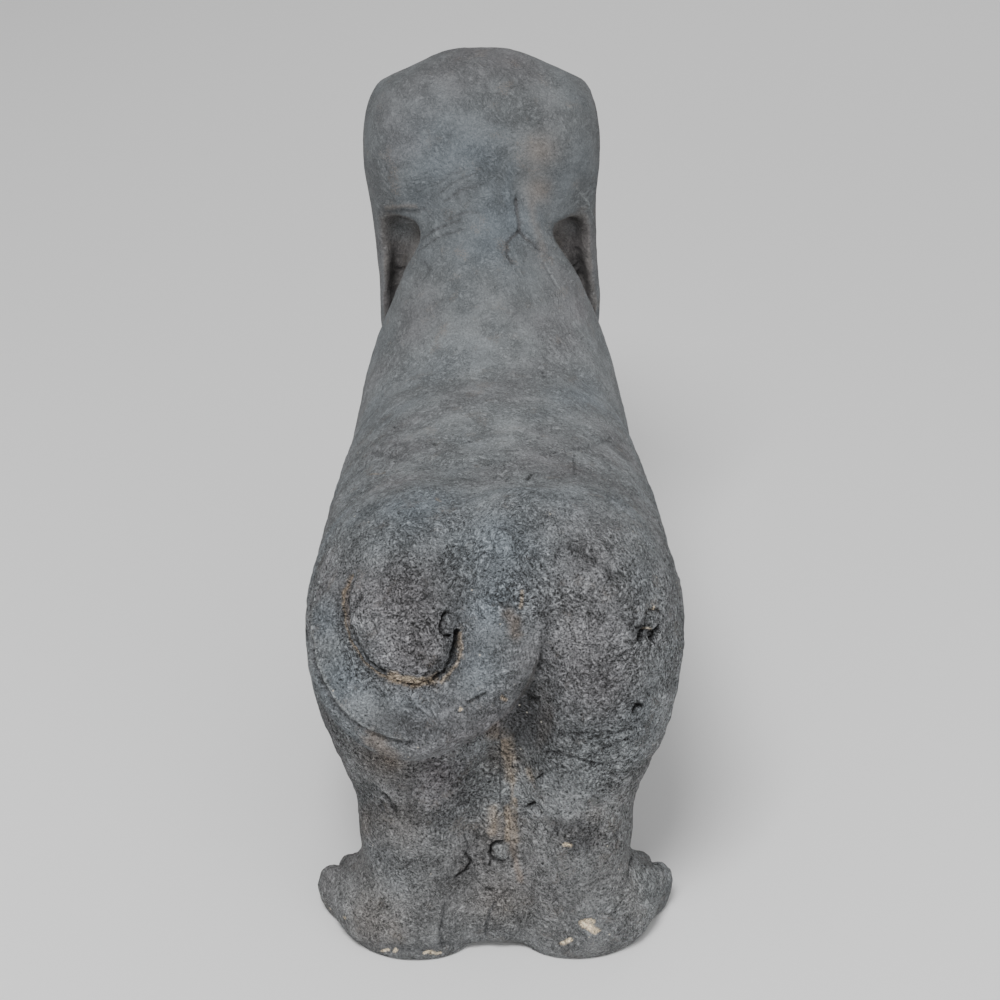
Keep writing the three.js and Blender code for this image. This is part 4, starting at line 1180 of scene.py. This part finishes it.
        # Broad tints of the stone, and broad patches of painted light and painted shade.
        for tint_and_shading, middle in zip(TINTS_AND_SHADING, self.sight.onto([w.spot for w in TINTS_AND_SHADING], self.form)):
            size = tint_and_shading.radius * self.sight.distance / self.sight.focal
            share = np.exp(-((points - middle) ** 2).sum(1) / size**2) * tint_and_shading.strength
            tones = tinted(tones, np.clip(share * (1 + 0.6 * drift), 0, 1), tint_and_shading.tone)
        return tones

    def hollowness(self, points: Points, normals: Points) -> np.ndarray:
        """How hollow the form is: how much nearer it stays than flat ground would, at two distances off.

        Args:
            points: Points on the form.
            normals: Their normals.

        Returns:
            0 where it is flat, and up to about 3 in a deep hollow.
        """
        near, far = (1 - self.form(points + reach * normals) / reach for reach in (0.009, 0.028))
        return np.clip(near, 0, 2) + 1.4 * smoothstep(far, 0.35, 0.95)

    def worked(self, points: Points) -> np.ndarray:
        """How roughly the surface was left. It goes by height and by how far forward a point is, taken
        together: fully round the haunches, less along the back, least on the head, and less again
        towards the soles. The tail is smoother than what it lies on.

        Args:
            points: Points on the form.

        Returns:
            Strengths, about 1 where it is fully rough.
        """
        strength = np.interp(rise(points), (0.075, 0.100, 0.122, 0.146, 0.172, 0.214, 0.30),
                             (1.0, 0.74, 0.56, 0.42, 0.36, 0.25, 0.27))
        strength *= np.interp(points[:, 2], (0.0, 0.02, 0.06, 0.11), (0.6, 0.68, 0.82, 1.0))
        tail = self.form.laid(points / self.form.MODULE + self.form.SHIFT)
        strength *= 0.65 + 0.35 * smoothstep(tail, 0.02, 0.3)
        return strength * (1 + 0.25 * Grain(83).clouds(points, 0.03, 2))

    def dress(self, mesh: bpy.types.Mesh, tones: Points, values: dict[str, np.ndarray]) -> None:
        """Stores the colours and other values on the mesh, and smooths its shading.

        Args:
            mesh: The mesh.
            tones: Linear colours of the points.
            values: Other values of the points, by name.
        """
        colour = mesh.color_attributes.new("tone", "FLOAT_COLOR", "POINT")
        rows = np.column_stack([tones, np.ones(len(tones))])
        colour.data.foreach_set("color", rows.astype(np.float32).ravel())
        for name, value in values.items():
            mesh.attributes.new(name, "FLOAT", "POINT").data.foreach_set("value", value.astype(np.float32))
        mesh.polygons.foreach_set("use_smooth", np.ones(len(mesh.polygons), bool))
        mesh.update()

    def build(self, node: bpy.types.Object, name: str) -> bpy.types.Object:
        """Builds the piece: remeshes the node, settles it on the form, and raises the worked surface.

        Args:
            node: The CAD node.
            name: The new piece's name.

        Returns:
            The finished piece.
        """
        piece = self.remeshed(node, name)
        mesh = piece.data
        self.edges = read_edges(mesh)
        points = self.form.settled(read_points(mesh), 2)
        for _ in range(2):
            write_points(mesh, points)
            points = self.form.settled(self.eased(points, read_normals(mesh), 0.5))
        write_points(mesh, points)
        self.ropes = self.laid()
        self.refined(mesh)
        points, normals = read_points(mesh), read_normals(mesh)
        hollow = self.hollowness(points, normals)
        tones = self.toned(points, normals, hollow)
        relief, worked = self.relief(points), self.worked(points)
        # Painted light on the raised relief, and painted shade in its low places.
        tones *= np.clip(1 + self.shading * worked * relief / (0.45 * self.mill), 0.45, 1.6)[:, None]
        height, tones = self.marked(points, tones)
        low, high = (np.array(corner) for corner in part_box(node.name))
        points = np.clip(points + (height + relief)[:, None] * normals, low - self.mill, high + self.mill)
        points[:, 2] = np.maximum(points[:, 2], 0)
        write_points(mesh, points)
        self.dress(mesh, tones, {"hollow": hollow, "worked": worked})
        return piece


def gathered(items: bpy.types.bpy_prop_collection, name: str, values: np.ndarray) -> np.ndarray:
    """One property of each item, put into the rows of an array that has its width and kind."""
    items.foreach_get(name, values.reshape(-1))
    return values


def read_points(mesh: bpy.types.Mesh) -> Points:
    """The mesh's points in metres, one a row."""
    return gathered(mesh.vertices, "co", np.empty((len(mesh.vertices), 3), np.float32)).astype(float)


def read_normals(mesh: bpy.types.Mesh) -> Points:
    """The mesh's normals at its points, one a row."""
    rows = np.empty((len(mesh.vertices), 3), np.float32)
    return gathered(mesh.vertex_normals, "vector", rows).astype(float)


def read_edges(mesh: bpy.types.Mesh) -> np.ndarray:
    """The numbers of the two ends of each edge, one edge a row."""
    return gathered(mesh.edges, "vertices", np.empty((len(mesh.edges), 2), np.int32))


def write_points(mesh: bpy.types.Mesh, points: Points) -> None:
    """Puts points into the mesh, one a row, in metres."""
    mesh.vertices.foreach_set("co", points.astype(np.float32).ravel())
    mesh.update()


class Tree:
    """The nodes of a material, made and linked in one call each."""

    def __init__(self, name: str) -> None:
        """Starts a material with only its output.

        Args:
            name: The material's name.
        """
        self.material = bpy.data.materials.new(name)
        self.material.use_nodes = True
        self.nodes = self.material.node_tree.nodes
        self.links = self.material.node_tree.links
        self.nodes.clear()

    def add(self, kind: str, settings: dict | None = None, **sockets: object) -> bpy.types.Node:
        """Adds a node.

        Args:
            kind: The node's type, without its ShaderNode prefix.
            settings: Values of the node's own options.
            sockets: What goes into its sockets, by name with _ for spaces: a value, or another socket.

        Returns:
            The node.
        """
        node = self.nodes.new("ShaderNode" + kind)
        for key, value in (settings or {}).items():
            setattr(node, key, value)
        for key, value in sockets.items():
            self.set(node.inputs[int(key[1:]) if key[1:].isdigit() else key.replace("_", " ")], value)
        return node

    def set(self, socket: Socket, value: object) -> None:
        """Links another socket into a socket, or sets its value."""
        if isinstance(value, Socket):
            self.links.new(value, socket)
        else:
            socket.default_value = value

    def math(self, operation: str, a: object, b: object = 0.0) -> Socket:
        """One sum of two values, such as ADD or MULTIPLY."""
        return self.add("Math", {"operation": operation}, _0=a, _1=b).outputs[0]

    def vector(self, operation: str, **sockets: object) -> Socket:
        """One sum of vectors, such as ADD or SCALE."""
        return self.add("VectorMath", {"operation": operation}, **sockets).outputs[0]

    def stored(self, name: str, output: str = "Fac") -> Socket:
        """A value that the mesh holds."""
        return self.add("Attribute", {"attribute_name": name}).outputs[output]

    def finished(self, **sockets: object) -> bpy.types.Material:
        """Ends the material in a shader with these sockets, and gives it."""
        shader = self.add("BsdfPrincipled", None, **sockets)
        self.links.new(shader.outputs[0], self.add("OutputMaterial").inputs["Surface"])
        return self.material

    def weighed(self, parts: list[tuple[object, float]], start: float) -> Socket:
        """The sum of start and of each part times its weight."""
        total: object = start
        for value, weight in parts:
            total = self.add("Math", {"operation": "MULTIPLY_ADD"}, _0=value, _1=weight, _2=total).outputs[0]
        return total

    def span(self, value: object, low: float, high: float, start: float = 0.0, end: float = 1.0) -> Socket:
        """Takes a value smoothly from start at low to end at high."""
        settings = {"interpolation_type": "SMOOTHSTEP"}
        return self.add("MapRange", settings, _0=value, _1=low, _2=high, _3=start, _4=end).outputs[0]

    def mix(self, share: object, a: object, b: object) -> Socket:
        """Mixes two colours by a share."""
        settings = {"data_type": "RGBA", "clamp_factor": True}
        return self.add("Mix", settings, _0=share, _6=a, _7=b).outputs[2]

    def noise(self, vector: object, scale: float, detail: float = 3.0, rough: float = 0.55,
              twist: float = 0.0) -> Socket:
        """Noise from 0 to 1 with so many cells a metre."""
        return self.add("TexNoise", None, Vector=vector, Scale=scale, Detail=detail, Roughness=rough,
                        Distortion=twist).outputs["Fac"]


@dataclass(frozen=True)
class CastStone:
    """Grey stone-like mix: crinkled and gritty, with painted shade in its fine cracks and low places,
    and painted light on its ridges.

    grain, crinkle, strokes, lumps: cells of the noise in a metre, finest first. relief: height of the
    bumps in metres. contrast: how much painted light the ridges get and painted shade the low places.
    wander: how far the noise is shaken, in metres. stretch: factors along the strokes' own axes.
    roughness: on the ridges, and between them.
    """

    name: str = "cast_stone"
    grain: float = 1500.0
    crinkle: float = 880.0
    strokes: float = 520.0
    lumps: float = 230.0
    relief: float = 0.0028
    contrast: float = 5.6
    wander: float = 0.0055
    stretch: Triple = (1.0, 0.28, 1.0)
    roughness: tuple[float, float] = (0.68, 0.95)

    def turned(self, tree: Tree, place: Socket, turn: Triple) -> Socket:
        """The place, turned by degrees about x, y and z, and then drawn out along y."""
        turned = tree.add("Mapping", None, Vector=place, Rotation=tuple(np.radians(turn))).outputs[0]
        return tree.add("Mapping", None, Vector=turned, Scale=self.stretch).outputs[0]

    def lines(self, tree: Tree, value: Socket, width: float) -> Socket:
        """Thin lines where noise passes its middle: 1 on the line, 0 at width from it."""
        away = tree.math("ABSOLUTE", tree.math("SUBTRACT", value, 0.5))
        return tree.span(away, 0.0, width, 1.0, 0.0)

    def build(self) -> bpy.types.Material:
        """Makes the material from the mesh's colours and noise on Object coordinates.

        Returns:
            The material.
        """
        tree = Tree(self.name)
        place = tree.add("TexCoord").outputs["Object"]
        shake = tree.add("TexNoise", None, Vector=place, Scale=130.0, Detail=2.0).outputs["Color"]
        centred = tree.vector("SUBTRACT", _0=shake, _1=(0.5, 0.5, 0.5))
        bent = tree.vector("ADD", _0=place, _1=tree.vector("SCALE", _0=centred, Scale=self.wander))
        worked = tree.stored("worked")

        # Strokes that lie two ways, each in patches of its own, and the cuts and nicks between them.
        which = tree.span(tree.noise(place, 34.0, 1.0), 0.44, 0.56)
        first, second = (
            tree.noise(self.turned(tree, bent, turn), self.strokes, 3.0, 0.60, 0.3)
            for turn in ((20, 35, 30), (-30, -25, -35))
        )
        stroke = tree.add("Mix", {"data_type": "FLOAT"}, _0=which, _2=first, _3=second).outputs[0]
        crinkle = tree.noise(bent, self.crinkle, 2.0, 0.6, 0.5)
        grain = tree.noise(place, self.grain, 1.0, 0.5)
        cuts = self.lines(tree, stroke, 0.034)
        nicks = self.lines(tree, crinkle, 0.024)
        patch = tree.span(tree.noise(place, 60.0, 2.0), 0.36, 0.60, 0.25, 1.0)
        cracks = tree.math("MULTIPLY", tree.math("MAXIMUM", cuts, tree.math("MULTIPLY", nicks, 0.6)), patch)

        # The height of the fine surface, about its middle.
        lumps = tree.noise(bent, self.lumps, 2.0, 0.5, 0.4)
        centred_stroke = tree.math("MULTIPLY", tree.math("SUBTRACT", stroke, 0.5), patch)
        fine = tree.weighed([(centred_stroke, 0.75), (crinkle, 0.9), (grain, 0.5)], -0.70)
        height = tree.math("MULTIPLY", fine, worked)
        coarse = tree.weighed([(centred_stroke, 1.3), (lumps, 1.9), (cracks, -0.3)], -0.95)
        raised = tree.math("ADD", height, tree.math("MULTIPLY", coarse, worked))

        # The mesh's own colour, with painted light where the fine surface is high and painted shade where it
        # is low, painted shade in the cracks and deep in the hollows, and brownish dust and pale flecks on
        # it.
        mottle = tree.span(tree.noise(place, 75.0, 4.0, 0.6), 0.3, 0.7, 0.88, 1.12)
        colour = tree.vector("SCALE", _0=tree.stored("tone", "Color"), Scale=mottle)
        shade = tree.math("MAXIMUM", tree.weighed([(height, self.contrast)], 1.20), 0.12)
        colour = tree.vector("SCALE", _0=colour, Scale=shade)
        # Painted shade in the fine cracks: they go nearly black.
        dark = tree.math("MULTIPLY", tree.math("MULTIPLY", cracks, 0.85), worked)
        colour = tree.mix(dark, colour, (0.020, 0.019, 0.019, 1.0))
        dust = tree.math("MULTIPLY", tree.span(tree.noise(place, 90.0, 3.0), 0.56, 0.72),
                         tree.span(grain, 0.45, 0.6, 0.0, 0.4))
        colour = tree.mix(dust, colour, (0.19, 0.155, 0.125, 1.0))
        # Painted shade deep in the hollows of the form.
        deep = tree.span(tree.stored("hollow"), 0.8, 2.4, 0.0, 0.45)
        colour = tree.mix(deep, colour, (0.050, 0.049, 0.051, 1.0))
        cells = tree.add("TexVoronoi", None, Vector=place, Scale=190.0, Randomness=1.0)
        rare = tree.span(tree.noise(cells.outputs["Position"], 613.0, 0.0), 0.66, 0.68)
        fleck = tree.math("MULTIPLY", tree.span(cells.outputs["Distance"], 0.05, 0.11, 1.0, 0.0), rare)
        fleck = tree.math("MULTIPLY", fleck, tree.span(worked, 0.3, 0.7, 0.15, 1.0))
        colour = tree.mix(fleck, colour, (0.62, 0.58, 0.50, 1.0))

        bump = tree.add("Bump", None, Strength=1.0, Distance=self.relief, Height=raised).outputs[0]
        gloss = tree.span(height, -0.1, 0.3, self.roughness[1], self.roughness[0])
        return tree.finished(Base_Color=colour, Roughness=gloss, Normal=bump, Specular_IOR_Level=0.35)


@dataclass(frozen=True)
class PaleFloor:
    """A plain matt floor, nearly white."""

    name: str = "floor"
    colour: Triple = (0.86, 0.86, 0.86)

    def build(self) -> bpy.types.Material:
        """Makes the material: one colour, set on the shader itself."""
        return Tree(self.name).finished(Base_Color=(*self.colour, 1.0), Roughness=0.9)


@dataclass(frozen=True)
class SoftBox:
    """A square lamp, aimed at the middle of the statue."""

    name: str
    place: Triple
    size: float
    power: float
    target: Triple = (0.0, 0.0, 0.16)

    def build(self) -> bpy.types.Object:
        """Makes the lamp and turns it to the statue.

        Returns:
            The lamp.
        """
        data = bpy.data.lights.new(self.name, "AREA")
        data.size = self.size
        data.energy = self.power
        lamp = bpy.data.objects.new(self.name, data)
        lamp.location = self.place
        aim = Vector(self.target) - Vector(self.place)
        lamp.rotation_euler = aim.to_track_quat("-Z", "Y").to_euler()
        bpy.context.scene.collection.objects.link(lamp)
        return lamp


@dataclass
class Studio:
    """The pale floor and the soft light round the statue."""

    half: float = 6.0
    squares: int = 8
    level: float = -0.0004
    sky: float = 0.45
    boxes: tuple[SoftBox, ...] = (
        SoftBox("key", (-0.35, -1.25, 1.85), 0.7, 42.0),
        SoftBox("fill", (0.9, -1.8, 0.6), 1.4, 13.0),
        SoftBox("front", (0.5, 1.9, 1.4), 1.6, 9.0),
    )

    def floor(self) -> bpy.types.Object:
        """Makes the floor, a square grid at the statue's soles.

        Returns:
            The floor.
        """
        count = self.squares + 1
        x, y = np.meshgrid(*[np.linspace(-self.half, self.half, count)] * 2)
        points = np.column_stack([x.ravel(), y.ravel(), np.full(x.size, self.level)])
        first = (np.arange(self.squares)[:, None] * count + np.arange(self.squares)).ravel()
        faces = np.column_stack([first, first + 1, first + count + 1, first + count])
        mesh = bpy.data.meshes.new("floor")
        mesh.from_pydata(points.tolist(), [], faces.tolist())
        floor = bpy.data.objects.new("floor", mesh)
        floor.data.materials.append(PaleFloor().build())
        bpy.context.scene.collection.objects.link(floor)
        return floor

    def light(self) -> None:
        """Lights the scene with the lamps and an even pale surround."""
        for box in self.boxes:
            box.build()
        world = bpy.data.worlds.new("surround")
        bpy.context.scene.world = world
        world.use_nodes = True
        back = world.node_tree.nodes["Background"]
        back.inputs["Color"].default_value = (1.0, 1.0, 1.0, 1.0)
        back.inputs["Strength"].default_value = self.sky


def main() -> None:
    """Builds the statue, its finish, the studio and the camera, and reports each piece."""
    logging.basicConfig(level=logging.INFO, format="%(message)s")
    sight = Sight()
    sight.camera()
    studio = Studio()
    studio.floor()
    studio.light()
    skin = Skin(Statue(), sight)
    dog = skin.build(frame["nodes"]["dog"], "dachshund")
    dog.data.materials.clear()
    dog.data.materials.append(CastStone().build())
    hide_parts("dog")
    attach(dog, "root")
    triangles = sum(len(face.vertices) - 2 for face in dog.data.polygons)
    LOG.info("%s: %d triangles", dog.name, triangles)


if __name__ == "__main__":
    main()
